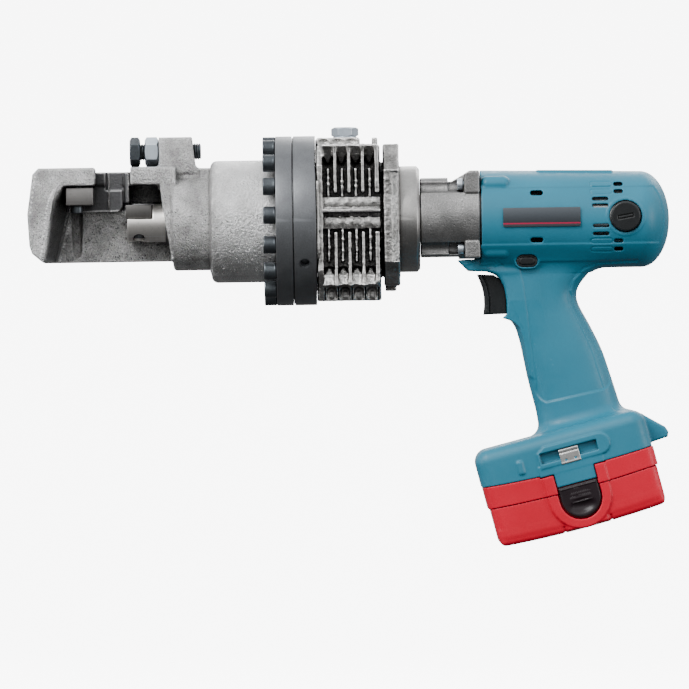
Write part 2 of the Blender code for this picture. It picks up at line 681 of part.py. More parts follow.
def make_gear_case():
    case = turned([
        (GEAR_CASE_END, 0.0333), (0.2620, 0.0333), (0.2580, GEAR_CASE_R),
        (COLLAR_END + GAP, GEAR_CASE_R), (COLLAR_END + GAP, 0.0222),
        (0.2510, 0.0222), (0.2510, 0.0060), (0.2560, 0.0060), (0.2560, 0.0093),
        (0.2640, 0.0093), (0.2640, 0.0300), (GEAR_CASE_END, 0.0300)])
    cut(case, box((0.2500, -0.0500, -0.0500), (0.2800, 0.0500, -0.0281)))
    places = [(side * 0.0225, height) for side in (-1, 1) for height in (0.0235, -0.0213)]
    for index, (y, z) in enumerate(places, 1):
        cut(case, rod((0.2200, y, z), (0.2585, y, z), 0.0062, 16))
        cut(case, rod((0.2500, y, z), (0.2720, y, z), 0.0024, 8))
        screw = cap_screw((0.2543, y, z), (1, 0, 0), 0.0040, 0.0040, 0.0020, 0.0110)
        finish(screw, "gear_case_screw_%d" % index, "black_screw")
    finish(case, "gear_case", "cast_aluminium")
    bearing = turned([(0.2637, 0.0090), (0.2563, 0.0090), (0.2563, MOTOR_SHAFT_R + GAP),
                      (0.2637, MOTOR_SHAFT_R + GAP)], 24)
    finish(bearing, "shaft_bearing", "machined_steel")


def make_motor():
    rotor = turned([
        (0.3945, 0), (0.3945, MOTOR_SHAFT_R), (0.3800, MOTOR_SHAFT_R), (0.3800, 0.0092),
        (0.3640, 0.0092), (0.3640, 0.0065), (0.3420, 0.0065), (0.3400, 0.0150),
        (0.3345, 0.0192), (0.2950, 0.0192), (0.2900, 0.0150), (0.2880, 0.0065),
        (0.2840, MOTOR_SHAFT_R), (0.2378, MOTOR_SHAFT_R), (0.2378, 0)], 20)
    for index in range(5):
        slot = box((0.2950, -0.0010, 0.0155), (0.3345, 0.0010, 0.0210))
        cut(rotor, moved(slot, turn=2 * math.pi * index / 5))
    finish(rotor, "motor_rotor", "dark_steel")

    can = turned([(0.3460, MOTOR_CAN_R), (0.2840, MOTOR_CAN_R), (0.2840, 0.0205),
                  (0.3460, 0.0205)], 40)
    finish(can, "motor_can", "dark_steel")

    fan = turned([(0.2765, 0.0070), (0.2740, 0.0255), (0.2730, 0.0255), (0.2730, 0.0033),
                  (0.2810, 0.0033), (0.2810, 0.0070)], 20)
    for index in range(9):
        blade = box((0.2735, -0.0006, 0.0060), (0.2800, 0.0006, 0.0250))
        join(fan, moved(blade, turn=2 * math.pi * index / 9))
    finish(fan, "cooling_fan", "black_plastic")

    bearing = turned([(0.3925, 0.0090), (0.3865, 0.0090), (0.3865, MOTOR_SHAFT_R + GAP),
                      (0.3925, MOTOR_SHAFT_R + GAP)], 24)
    finish(bearing, "motor_bearing", "machined_steel")

    for side, word in ((-1, "left"), (1, "right")):
        low, high = sorted((side * 0.0096, side * 0.0235))
        brush = box((BRUSH_X - 0.0030, low, -0.0045), (BRUSH_X + 0.0030, high, 0.0035))
        finish(brush, "carbon_brush_" + word, "carbon")
        cap = turned([(side * 0.0348, 0), (side * 0.0348, 0.0094), (side * 0.0338, 0.0104),
                      (side * 0.0300, 0.0104), (side * 0.0300, 0.0060), (side * 0.0240, 0.0060),
                      (side * 0.0240, 0)], 20, (BRUSH_X, BRUSH_Z), "Y")
        slot_low, slot_high = sorted((side * 0.0335, side * 0.0360))
        cut(cap, box((BRUSH_X - 0.0060, slot_low, -0.0012), (BRUSH_X + 0.0060, slot_high, 0.0002)))
        finish(cap, "brush_cap_" + word, "black_plastic")


# ---------------------------------------------------------------- housing


# height, front X, rear X and half width of the grip's sections, from the top
GRIP = [
    (-0.0200, 0.2880, 0.3520, 0.0180), (-0.0400, 0.2885, 0.3440, 0.0180),
    (-0.0480, 0.2888, 0.3378, 0.0175), (-0.0580, 0.2888, 0.3372, 0.0170),
    (-0.0700, 0.2880, 0.3437, 0.0172), (-0.0760, 0.2955, 0.3470, 0.0176),
    (-0.0965, 0.2987, 0.3558, 0.0182), (-0.1156, 0.3026, 0.3615, 0.0184),
    (-0.1355, 0.3077, 0.3680, 0.0186), (-0.1600, 0.3085, 0.3660, 0.0200)]
LIP = [
    (0.2540, -0.0294), (0.2702, -0.0287), (0.2716, -0.0150), (0.3300, -0.0150),
    (0.3300, -0.0385), (0.2860, -0.0385), (0.2613, -0.0372)]
FOOT = [
    (0.2640, -0.1695), (0.2688, -0.1872), (0.3883, -0.1596), (0.3987, -0.1548),
    (0.3995, -0.1505), (0.3844, -0.1424), (0.3690, -0.1350), (0.3080, -0.1495),
    (0.2690, -0.1626)]


# centre X, centre Z, length and height of the motor housing's vents
VENTS = [
    (0.3665, 0.0221, 0.0066, 0.0028), (0.3665, 0.0169, 0.0066, 0.0028),
    (0.3540, 0.0118, 0.0118, 0.0025), (0.3540, 0.0072, 0.0118, 0.0025),
    (0.3540, -0.0068, 0.0118, 0.0025), (0.3540, -0.0124, 0.0118, 0.0025),
    (0.3663, -0.0175, 0.0066, 0.0028), (0.3663, -0.0231, 0.0066, 0.0028),
    (0.3095, 0.0166, 0.0090, 0.0035), (0.3095, -0.0162, 0.0090, 0.0035)]


def make_housing():
    outer_barrel = turned([
        (REAR_X, 0), (REAR_X, 0.0150), (0.4010, 0.0240), (0.3960, 0.0296), (0.3860, 0.0332),
        (HOUSING_X, HOUSING_R), (HOUSING_X, 0)], 28, (0.0, HOUSING_Z))
    whole = join(outer_barrel, loft(GRIP),
                 round_edges(plate(LIP, -0.0160, 0.0160), 0.0010, 1),
                 round_edges(plate(FOOT, -FOOT_HALF, FOOT_HALF), 0.0030, 2, 20))
    hollow = turned([
        (REAR_X - WALL, 0), (REAR_X - WALL, 0.0130), (0.3940, 0.0268), (0.3850, 0.0302),
        (HOUSING_X - 0.01, HOUSING_R - WALL), (HOUSING_X - 0.01, 0)], 20, (0.0, HOUSING_Z))
    join(hollow, loft(GRIP, shrink=WALL))
    foot_inside = [(0.2672, -0.1712), (0.2660, -0.2000), (0.3870, -0.1700), (0.3830, -0.1455),
                   (0.3680, -0.1385), (0.3090, -0.1525), (0.2712, -0.1656)]
    join(hollow, plate(foot_inside, WALL - FOOT_HALF, FOOT_HALF - WALL))
    cut(whole, hollow)
    for side in (-1, 1):
        low, high = sorted((side * (FOOT_HALF - 0.0025), side * (FOOT_HALF - GAP)))
        tongue = box((TONGUE_START, low, -TONGUE_DEEP), (TONGUE_END, high, 0.0060))
        join(whole, on_battery(tongue), solver=ROBUST)
    # trigger opening, lock button hole, brush cap holes, vents
    cut(whole, box((0.2600, -0.0072, -0.0688), (0.2980, 0.0072, -0.0385)), solver=ROBUST)
    cut(whole, plate(rounded([(LOCK_X - 0.0075, LOCK_Z - 0.0045, 0.0042),
                              (LOCK_X + 0.0075, LOCK_Z - 0.0045, 0.0042),
                              (LOCK_X + 0.0075, LOCK_Z + 0.0045, 0.0042),
                              (LOCK_X - 0.0075, LOCK_Z + 0.0045, 0.0042)]), -0.05, 0.05),
        solver=ROBUST)
    for side in (-1, 1):
        hole = rod((BRUSH_X, side * 0.0200, BRUSH_Z), (BRUSH_X, side * 0.0500, BRUSH_Z), 0.0110, 20)
        cut(whole, hole, solver=ROBUST)
    for x, z, long, high in VENTS:
        for low, far in ((-0.0450, -0.0200), (0.0200, 0.0450)):
            slot = box((x - long / 2, low, z - high / 2), (x + long / 2, far, z + high / 2))
            cut(whole, slot, solver=ROBUST)
    # recess for the name plate
    cut(whole, box((0.2857, -0.0400, -0.0072), (0.3401, -0.0338, 0.0067)), solver=ROBUST)
    right = copy_of(whole)
    keep(whole, box((0.2, -0.06, -0.3), (0.5, -GAP / 2, 0.1)), solver=ROBUST)
    keep(right, box((0.2, GAP / 2, -0.3), (0.5, 0.06, 0.1)), solver=ROBUST)
    finish(whole, "housing_left", "teal_plastic")
    finish(right, "housing_right", "teal_plastic")


def make_controls():
    trigger = plate(rounded([
        (0.2676, -0.0396, 0.001), (0.2790, -0.0396, 0.006), (0.2876, -0.0500, 0.004),
        (0.2879, -0.0672, 0), (0.2717, -0.0678, 0.001), (0.2724, -0.0555, 0.020),
        (0.2700, -0.0455, 0.005)], 2), -0.0065, 0.0065)
    trigger = round_edges(trigger, 0.0020, 2, 60)
    finish(trigger, "trigger", "black_plastic", (0.2780, 0, -0.0540))

    switch = box((0.2950, -0.0090, -0.0660), (0.3270, 0.0090, -0.0440))
    finish(round_edges(switch, 0.0010, 1), "switch_body", "black_plastic")

    lock = plate(rounded([(LOCK_X - 0.0070, LOCK_Z - 0.0040, 0.0038),
                          (LOCK_X + 0.0070, LOCK_Z - 0.0040, 0.0038),
                          (LOCK_X + 0.0070, LOCK_Z + 0.0040, 0.0038),
                          (LOCK_X - 0.0070, LOCK_Z + 0.0040, 0.0038)]), -0.0225, 0.0200)
    finish(lock, "lock_button", "black_plastic", (LOCK_X, 0, LOCK_Z))

    name_plate = box((0.2860, -0.0347, -0.0069), (0.3398, -0.0341, 0.0064))
    finish(name_plate, "name_plate", "grey_label")

    clip = on_battery(box((0.0574, -0.0430, 0.0008), (0.0714, -FOOT_HALF - GAP, 0.0098)))
    finish(clip, "strap_clip", "machined_steel")

    terminals = on_battery(box((0.0660, -0.0090, 0.0480), (0.0900, 0.0090, 0.0560)))
    finish(terminals, "terminal_block", "black_plastic")


# ---------------------------------------------------------------- battery


def make_battery():
    bottom = rounded([(0.0000, -0.0030, 0.001), (0.0000, -BATTERY_DEEP, 0.007),
                      (BATTERY_LONG, -BATTERY_DEEP, 0.005), (BATTERY_LONG, 0.0, 0.002),
                      (0.0040, -0.0015, 0)], 3)
    case = round_edges(plate(bottom, -BATTERY_HALF, BATTERY_HALF), 0.0050, 2, 60)
    cut(case, box((0.0026, 0.0026 - BATTERY_HALF, 0.0026 - BATTERY_DEEP),
                  (BATTERY_LONG - 0.0026, BATTERY_HALF - 0.0026, 0.01)),
        solver=ROBUST)
    cut(case, box((-0.02, -0.06, -LID_DEEP), (0.15, 0.06, 0.02)), solver=ROBUST)
    for side in (-1, 1):
        low, high = sorted((side * 0.0380, side * 0.0500))
        pocket = box((TONGUE_START - 0.0004, low, -0.0380), (TONGUE_END + 0.0004, high, 0.01))
        cut(case, pocket, solver=ROBUST)
    finish(on_battery(case), "battery_case", "red_plastic")

    lid = plate([(0.0004, GAP - LID_DEEP), (BATTERY_LONG - 0.0004, GAP - LID_DEEP),
                 (BATTERY_LONG - 0.0004, LID_REAR), (0.0004, LID_FRONT)],
                -BATTERY_HALF, BATTERY_HALF)
    lid = round_edges(lid, 0.0015, 1)
    cut(lid, box((0.0030, 0.0030 - BATTERY_HALF, -0.03),
                 (BATTERY_LONG - 0.0030, BATTERY_HALF - 0.0030, -0.0110)))
    for side in (-1, 1):
        low, high = sorted((side * 0.0385, side * 0.0500))
        cut(lid, box((TONGUE_START - 0.0006, low, -0.02), (TONGUE_END + 0.0006, high, 0.01)))
    stem = box((0.0620, -0.0105, -0.0060), (0.0960, 0.0105, 0.0460))
    join(lid, round_edges(stem, 0.0030, 1))
    finish(on_battery(lid), "battery_lid", "red_plastic")

    cell_r, pitch = 0.0106, 0.0217
    low, high = -0.0410, -0.0125
    pack = box((0.0120, -0.0290, low - 0.0003), (0.1100, 0.0290, low + 0.0003))
    for column in range(5):
        for row in range(3):
            x = BATTERY_LONG / 2 + (column - 2) * pitch
            y = (row - 1) * pitch
            join(pack, rod((x, y, low), (x, y, high), cell_r, 8))
    finish(on_battery(pack), "cell_pack", "cell_wrap")

    for side, word in ((-1, "left"), (1, "right")):
        low, high = sorted((side * 0.0365, side * 0.0428))
        latch = box((TONGUE_START, low, -0.0375), (TONGUE_END, high, -TONGUE_DEEP - 0.0005))
        latch = round_edges(latch, 0.0012, 1)
        finish(on_battery(latch), "latch_button_" + word, "black_plastic",
               (0.3373, side * 0.0396, -0.1962))


def main():
    clear_scene()
    make_collection("rebar_cutter")
    make_materials()
    make_head()
    make_cutters()
    make_piston()
    make_return_spring()
    make_stopper()
    make_flange()
    make_fin_housing()
    make_tank_cover()
    make_pump()
    make_gears()
    make_gear_case()
    make_motor()
    make_housing()
    make_controls()
    make_battery()
    for obj in bpy.data.objects:
        obj.location -= CENTRE


main()
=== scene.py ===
"""Looks of the cordless hydraulic rebar cutter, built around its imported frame.

Shapes are worked out in the tool's own millimetres: X along the piston axis from the fixed
cutter's face towards the motor, Y = 0 the plane of symmetry with the mouth open to -Y, Z up.
Cast and moulded shapes are distance fields with blended edges; turned parts are lathed.
"""

import json
import math

import bmesh
import bpy
import numpy as np
import openvdb
from mathutils import Matrix, Vector


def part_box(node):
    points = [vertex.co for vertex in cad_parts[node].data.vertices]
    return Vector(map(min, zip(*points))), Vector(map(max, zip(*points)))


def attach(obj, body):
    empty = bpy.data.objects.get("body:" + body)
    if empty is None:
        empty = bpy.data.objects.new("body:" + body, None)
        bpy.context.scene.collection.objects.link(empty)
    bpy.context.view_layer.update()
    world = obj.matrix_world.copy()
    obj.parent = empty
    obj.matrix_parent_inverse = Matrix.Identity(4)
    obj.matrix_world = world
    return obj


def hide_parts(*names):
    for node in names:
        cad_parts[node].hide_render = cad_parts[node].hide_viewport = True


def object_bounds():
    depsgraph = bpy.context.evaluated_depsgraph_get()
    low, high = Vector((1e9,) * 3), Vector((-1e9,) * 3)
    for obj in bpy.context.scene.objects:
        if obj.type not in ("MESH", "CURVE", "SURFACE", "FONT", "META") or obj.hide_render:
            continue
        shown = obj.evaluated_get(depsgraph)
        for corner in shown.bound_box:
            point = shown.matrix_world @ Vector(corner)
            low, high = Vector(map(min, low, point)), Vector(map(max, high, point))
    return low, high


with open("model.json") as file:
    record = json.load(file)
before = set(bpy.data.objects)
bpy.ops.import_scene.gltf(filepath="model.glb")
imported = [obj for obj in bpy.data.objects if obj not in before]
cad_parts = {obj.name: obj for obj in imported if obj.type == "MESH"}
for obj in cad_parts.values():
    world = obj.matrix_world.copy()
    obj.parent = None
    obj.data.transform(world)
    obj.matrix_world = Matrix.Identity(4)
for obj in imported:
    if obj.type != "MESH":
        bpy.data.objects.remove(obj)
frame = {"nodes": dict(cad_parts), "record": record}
cad_low, cad_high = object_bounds()

MM = 0.001
ORIGIN = Vector((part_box("fixed_cutter")[1].x, 0.0, sum(c.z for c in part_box("pump_case")) / 2))
TILT = math.radians(14.3)           # slope of the battery's seam
CORNER = (268.6, -187.7)            # X, Z of the seam's front end
ROD_RADIUS, PISTON_RADIUS = 13.5, 27
FIXED_SCREW = (-11.5, -6.0)         # X, Y of the fixed cutter's screw
MOVING_SCREW = (31.2, 0.0)          # X, Y of the moving cutter's screw
STOPPER_Z = 49.6                    # height of the stopper bolt's axis
BRUSH_CAP = (371.4, -0.5)           # X, Z of the caps over the brushes


def span(node):
    """A CAD node's (low, high) corners in tool millimetres."""
    return tuple((corner - ORIGIN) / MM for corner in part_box(node))


def middle_of(node):
    """The middle of a CAD node's box, as (x, y, z) in tool millimetres."""
    return tuple((a + b) / 2 for a, b in zip(*span(node)))


# ------------------------------------------------------------------ distance shapes


def smooth_min(a, b, k):
    if k <= 0:
        return np.minimum(a, b)
    h = np.maximum(k - np.abs(a - b), 0) / k
    return np.minimum(a, b) - h * h * (k / 4)


def smooth_max(a, b, k):
    return -smooth_min(-a, -b, k)


def split(axis, x, y, z):
    """The coordinate along an axis, then the other two in order."""
    return {"X": (x, y, z), "Y": (y, x, z), "Z": (z, x, y)}[axis]


def slab(along, start, end):
    """Distance to the space between two planes."""
    return np.abs(along - (start + end) / 2) - (end - start) / 2


def around(axis, start, end, low, high):
    """Corners of a box from its stretch along an axis and its bounds across it."""
    at = "XYZ".index(axis)
    return [*low[:at], start, *low[at:]], [*high[:at], end, *high[at:]]


class Shape:
    """A distance function of (x, y, z) with the box that holds the solid."""

    def __init__(self, distance, low, high):
        self.distance, self.low, self.high = distance, low, high


def rounded_join(a, b, r):
    """Distance to where two distances are both negative, with the edge rounded."""
    a, b = a + r, b + r
    outside = np.sqrt(np.maximum(a, 0) ** 2 + np.maximum(b, 0) ** 2)
    return np.minimum(np.maximum(a, b), 0) + outside - r


def block(low, high, r=0.0):
    middle = [(a + b) / 2 for a, b in zip(low, high)]
    half = [(b - a) / 2 for a, b in zip(low, high)]

    def distance(x, y, z):
        q = [abs(p - m) - h + r for p, m, h in zip((x, y, z), middle, half)]
        outside = np.sqrt(sum(np.maximum(p, 0) ** 2 for p in q))
        return np.minimum(np.maximum(np.maximum(q[0], q[1]), q[2]), 0) + outside - r
    return Shape(distance, low, high)


def cylinder(axis, start, end, centre, radius, r=0.0, end_radius=None):
    """Along X, Y or Z; centre holds the other two coordinates in order."""
    wide = max(radius, end_radius or 0)

    def distance(x, y, z):
        along, u, v = split(axis, x, y, z)
        out = np.sqrt((u - centre[0]) ** 2 + (v - centre[1]) ** 2)
        share = 0 if end_radius is None else np.clip((along - start) / (end - start), 0, 1)
        out = out - radius - share * ((end_radius or radius) - radius)
        return rounded_join(out, slab(along, start, end), r)
    return Shape(distance, *around(axis, start, end, [c - wide for c in centre],
                                   [c + wide for c in centre]))


def ball(centre, radii):
    low = [c - r for c, r in zip(centre, radii)]
    high = [c + r for c, r in zip(centre, radii)]

    def distance(x, y, z):
        q = np.sqrt(sum(((p - c) / r) ** 2 for p, c, r in zip((x, y, z), centre, radii)))
        return (q - 1) * min(radii)
    return Shape(distance, low, high)


def outline_distance(points, u, v):
    """Signed distance to a closed outline, negative inside."""
    best, inside = np.inf, np.zeros(np.broadcast(u, v).shape, bool)
    for (ax, ay), (bx, by) in zip(points, points[1:] + points[:1]):
        ex, ey = bx - ax, by - ay
        if ex * ex + ey * ey < 1e-9:
            continue
        share = np.clip(((u - ax) * ex + (v - ay) * ey) / (ex * ex + ey * ey), 0, 1)
        best = np.minimum(best, (u - ax - ex * share) ** 2 + (v - ay - ey * share) ** 2)
        if ay != by:
            crosses = ((ay > v) != (by > v)) & (u < ex * (v - ay) / ey + ax)
            inside ^= crosses
    return np.sqrt(best) * np.where(inside, -1, 1)


def prism(points, start, end, r=0.0, axis="Y"):
    """An outline given thickness along an axis."""
    us, vs = zip(*points)

    def distance(x, y, z):
        along, u, v = split(axis, x, y, z)
        return rounded_join(outline_distance(points, u, v), slab(along, start, end), r)
    return Shape(distance, *around(axis, start, end, [min(us), min(vs)], [max(us), max(vs)]))


def both_sides(shape):
    """The shape at +Y and its mirror at -Y."""
    high = max(abs(shape.low[1]), abs(shape.high[1]))
    return Shape(lambda x, y, z: shape.distance(x, np.abs(y), z),
                 [shape.low[0], -high, shape.low[2]], [shape.high[0], high, shape.high[2]])


def tilted(shape, bow=0.0):
    """A shape given in the battery's frame: X along the seam, Z square to it.

    Bow is how far the middle of the battery's length sags below its ends.
    """
    c, s = math.cos(TILT), math.sin(TILT)

    def distance(x, y, z):
        dx, dz = x - CORNER[0], z - CORNER[1]
        along = dx * c + dz * s
        sag = bow * np.clip(1 - ((along - 62) / 61) ** 2, 0, 1)
        return shape.distance(along, y, -dx * s + dz * c + sag)
    corners = [(CORNER[0] + u * c - w * s, CORNER[1] + u * s + w * c)
               for u in (shape.low[0], shape.high[0]) for w in (shape.low[2], shape.high[2])]
    xs, zs = zip(*corners)
    return Shape(distance, [min(xs), shape.low[1], min(zs) - bow],
                 [max(xs), shape.high[1], max(zs)])


class Field:
    """Distances on a grid, in millimetres, negative inside."""

    def __init__(self, low, high, step):
        self.low, self.step = low, step
        self.axes = [np.arange(a, b + step, step, dtype=np.float32) for a, b in zip(low, high)]
        self.d = np.full([len(a) for a in self.axes], 50, np.float32)

    def near(self, shape, margin):
        cut = []
        for axis, a, b in zip(self.axes, shape.low, shape.high):
            first = np.searchsorted(axis, a - margin)
            last = np.searchsorted(axis, b + margin)
            cut.append(slice(first, max(first, last)))
        x, y, z = [axis[c] for axis, c in zip(self.axes, cut)]
        return tuple(cut), x[:, None, None], y[None, :, None], z[None, None, :]

    def change(self, shape, k, how):
        cut, x, y, z = self.near(shape, k + 4 * self.step)
        if 0 in (x.size, y.size, z.size):
            return self
        value = shape.distance(x, y, z).astype(np.float32)
        self.d[cut] = how(self.d[cut], value, k)
        return self

    def add(self, shape, k=0.0):
        return self.change(shape, k, smooth_min)

    def carve(self, shape, k=0.0):
        return self.change(shape, k, lambda a, b, k: smooth_max(a, -b, k))

    def trim(self, shape, k=0.0):
        """Keeps only what is inside the shape."""
        x, y, z = self.axes
        value = shape.distance(x[:, None, None], y[None, :, None], z[None, None, :])
        self.d = smooth_max(self.d, value.astype(np.float32), k)
        return self

    def emboss(self, shape, height, edge=0.8):
        """Raises the surface inside a shape, or sinks it if height is negative."""
        cut, x, y, z = self.near(shape, edge)
        value = shape.distance(x, y, z)
        share = np.clip(0.5 - value / edge, 0, 1)
        self.d[cut] -= (height * share * share * (3 - 2 * share)).astype(np.float32)
        return self

    def copy(self):
        twin = Field.__new__(Field)
        twin.low, twin.step, twin.axes, twin.d = self.low, self.step, self.axes, self.d.copy()
        return twin


def half_space(axis, limit, side):
    """Everything on one side of a plane: side -1 keeps what is below the limit."""
    def distance(x, y, z):
        return (split(axis, x, y, z)[0] - limit) * -side + 0 * (x + y + z)
    return Shape(distance, [-1e4] * 3, [1e4] * 3)


# ------------------------------------------------------------------ pieces


def placed(name, data):
    """A new object in the scene."""
    obj = bpy.data.objects.new(name, data)
    bpy.context.scene.collection.objects.link(obj)
    return obj


def mesh_object(name, vertices, faces):
    """A smooth-shaded object from tool-millimetre points and equal-sized faces."""
    points = np.asarray(vertices, np.float32) * MM + np.array(ORIGIN, np.float32)
    faces = np.asarray(faces, np.int32)
    mesh = bpy.data.meshes.new(name)
    mesh.vertices.add(len(points))
    mesh.vertices.foreach_set("co", points.ravel())
    mesh.loops.add(faces.size)
    mesh.loops.foreach_set("vertex_index", faces.ravel())
    mesh.polygons.add(len(faces))
    starts = np.arange(0, faces.size, faces.shape[1], dtype=np.int32)
    mesh.polygons.foreach_set("loop_start", starts)
    mesh.update(calc_edges=True)
    mesh.shade_smooth()
    return placed(name, mesh)


def surface(field, name):
    """The mesh where a field's distance is zero."""
    band = 3 * field.step
    grid = openvdb.FloatGrid(band)
    grid.copyFromArray(np.clip(field.d, -band, band))
    points, _, quads = grid.convertToPolygons(isovalue=0.0, adaptivity=0.0)
    return mesh_object(name, points * field.step + np.array(field.low), quads)


def dress(obj, body, material, slot, *nodes):
    """Give a piece its material and its body, and hide the CAD nodes it stands for. The slot is
    not used.
    """
    obj.data.materials.clear()
    obj.data.materials.append(MATERIALS[material])
    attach(obj, body)
    if nodes:
        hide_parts(*nodes)
    return obj


def mirrored(obj, name):
    """A copy reflected in Y = 0."""
    twin = placed(name, obj.data.copy())
    twin.data.transform(Matrix.Scale(-1, 4, (0, 1, 0)))
    twin.data.flip_normals()
    return twin


def arc(centre, radius, start, end, steps=4):
    """Points on an arc, with angles in degrees."""
    angles = [math.radians(start + (end - start) * i / steps) for i in range(steps + 1)]
    return [(centre[0] + radius * math.cos(a), centre[1] + radius * math.sin(a)) for a in angles]


def lathe(name, profile, sides=144, centre=(0.0, 0.0), axis="X", bevel=0.0):
    """Turn a closed profile of (along, radius) points. Bevel rounds its sharp corners."""
    points = soften(profile, bevel) if bevel else list(profile)
    count = len(points)
    angles = np.arange(sides) * (2 * math.pi / sides)
    rings = []
    for along, radius in points:
        u, v = centre[0] + radius * np.cos(angles), centre[1] + radius * np.sin(angles)
        w = np.full(sides, along)
        rings.append(np.stack({"X": (w, u, v), "Y": (u, w, v), "Z": (u, v, w)}[axis], 1))
    index = np.arange(count * sides).reshape(count, sides)
    after = np.roll(index, -1, 0)
    faces = np.stack([index, np.roll(index, -1, 1), np.roll(after, -1, 1), after], 2)
    vertices, faces = np.concatenate(rings), faces.reshape(-1, 4)
    if volume(vertices, faces) < 0:
        faces = faces[:, ::-1]
    obj = mesh_object(name, vertices, faces)
    merge(obj)
    obj.data.set_sharp_from_angle(angle=math.radians(50))
    return obj


def volume(vertices, faces):
    """Six times a closed mesh's volume, negative when it is inside out."""
    a, b, c, d = [vertices[faces[:, i]] for i in range(4)]
    return float(np.sum(np.cross(a, b) * c) + np.sum(np.cross(a, c) * d))


def merge(obj):
    """Weld doubled points, such as those of a profile that touches its axis."""
    mesh = bmesh.new()
    mesh.from_mesh(obj.data)
    bmesh.ops.remove_doubles(mesh, verts=mesh.verts, dist=1e-7)
    bmesh.ops.dissolve_degenerate(mesh, edges=mesh.edges, dist=1e-8)
    mesh.to_mesh(obj.data)
    mesh.free()


def soften(profile, r, steps=3):
    """Round a profile's corners, apart from those on the axis."""
    result = []
    for i, here in enumerate(profile):
        before, after = profile[i - 1], profile[(i + 1) % len(profile)]
        a, b = Vector(before) - Vector(here), Vector(after) - Vector(here)
        if here[1] == 0 or min(a.length, b.length) < 1e-6:
            result.append(here)
            continue
        reach = min(r, 0.45 * a.length, 0.45 * b.length)
        a, b = a.normalized() * reach, b.normalized() * reach
        for step in range(steps + 1):
            t = step / steps
            point = Vector(here) + a * (1 - t) ** 2 + b * t ** 2
            result.append(tuple(point))
    return result


def bevelled_box(name, low, high, width=0.4, segments=3):
    mesh = bpy.data.meshes.new(name)
    form = bmesh.new()
    bmesh.ops.create_cube(form, size=1)
    for vertex in form.verts:
        vertex.co = [(a + b) / 2 + c * (b - a) for a, b, c in zip(low, high, vertex.co)]
    bmesh.ops.bevel(form, geom=form.edges[:], offset=width, segments=segments, profile=0.5,
                    affect="EDGES")
    form.to_mesh(mesh)
    form.free()
    mesh.transform(Matrix.Translation(ORIGIN) @ Matrix.Scale(MM, 4))
    mesh.shade_smooth()
    mesh.set_sharp_from_angle(angle=math.radians(40))
    return placed(name, mesh)


def cut_with(obj, tool):
    """Cut one object out of another and drop it."""
    modifier = obj.modifiers.new("cut", "BOOLEAN")
    modifier.operation = "DIFFERENCE"
    modifier.object = tool
    bpy.context.view_layer.update()
    evaluated = obj.evaluated_get(bpy.context.evaluated_depsgraph_get())
    mesh = bpy.data.meshes.new_from_object(evaluated)
    obj.modifiers.clear()
    obj.data = mesh
    mesh.set_sharp_from_angle(angle=math.radians(40))
    bpy.data.objects.remove(tool, do_unlink=True)
    return obj


# ------------------------------------------------------------------ materials


class Nodes:
    """Short forms for building a node tree."""

    def __init__(self, name):
        self.material = bpy.data.materials.new(name)
        self.material.use_nodes = True
        self.tree = self.material.node_tree
        self.shader = self.tree.nodes["Principled BSDF"]
        self.place = self.tree.nodes.new("ShaderNodeTexCoord").outputs["Object"]

    def feed(self, socket, value):
        """Link an input to an output, or set its value."""
        if isinstance(value, bpy.types.NodeSocket):
            self.tree.links.new(value, socket)
        elif socket.type == "RGBA":
            socket.default_value = (*value, 1.0)
        else:
            socket.default_value = value

    def node(self, kind, **inputs):
        node = self.tree.nodes.new("ShaderNode" + kind)
        for key, value in inputs.items():
            self.feed(node.inputs[key.replace("_", " ")], value)
        return node

    def stretched(self, scale):
        """Coordinates scaled along each axis."""
        return self.node("Mapping", Vector=self.place, Scale=scale).outputs["Vector"]

    def noise(self, scale, detail=3.0, roughness=0.6, where=None):
        return self.node("TexNoise", Vector=where or self.place, Scale=scale, Detail=detail,
                         Roughness=roughness).outputs["Fac"]

    def pits(self, scale):
        """Distance to scattered points."""
        return self.node("TexVoronoi", Vector=self.place, Scale=scale).outputs["Distance"]

    def math(self, operation, a, b=0.0):
        node = self.tree.nodes.new("ShaderNodeMath")
        node.operation = operation
        for socket, value in zip(node.inputs, (a, b)):
            self.feed(socket, value)
        return node.outputs[0]

    def ramp(self, factor, stops):
        """Colour ramp; each stop is (position, colour or grey)."""
        node = self.tree.nodes.new("ShaderNodeValToRGB")
        self.tree.links.new(factor, node.inputs["Fac"])
        elements = node.color_ramp.elements
        while len(elements) < len(stops):
            elements.new(0.5)
        for element, (position, colour) in zip(elements, stops):
            element.position = position
            rgb = (colour,) * 3 if isinstance(colour, (int, float)) else colour
            element.color = (*rgb, 1.0)
        return node.outputs["Color"]

    def mix(self, factor, a, b, kind="MIX"):
        node = self.tree.nodes.new("ShaderNodeMix")
        node.data_type = "RGBA"
        node.blend_type = kind
        for index, value in ((0, factor), (6, a), (7, b)):
            self.feed(node.inputs[index], value)
        return node.outputs[2]

    def axis(self, letter):
        return self.node("SeparateXYZ", Vector=self.place).outputs[letter]

    def edges(self, low=0.5, high=0.58):
        """White on convex edges, from the mesh's curvature."""
        pointiness = self.tree.nodes.new("ShaderNodeNewGeometry").outputs["Pointiness"]
        return self.ramp(pointiness, [(low, 0.0), (high, 1.0)])

    def hollow_shade(self, distance):
        """Painted shade: black in deep corners, white in the open."""
        node = self.node("AmbientOcclusion", Distance=distance)
        node.samples = 4
        return node.outputs["AO"]

    def bump(self, height, depth_mm):
        return self.node("Bump", Height=height, Strength=1.0,
                         Distance=depth_mm * MM).outputs["Normal"]

    def done(self, colour, roughness, normal, metallic=0.0, **fixed):
        """The material, once its main inputs are fed."""
        main = {"Base Color": colour, "Roughness": roughness, "Normal": normal,
                "Metallic": metallic}
        for key, value in {**main, **fixed}.items():
            self.feed(self.shader.inputs[key.replace("_", " ")], value)
        return self.material


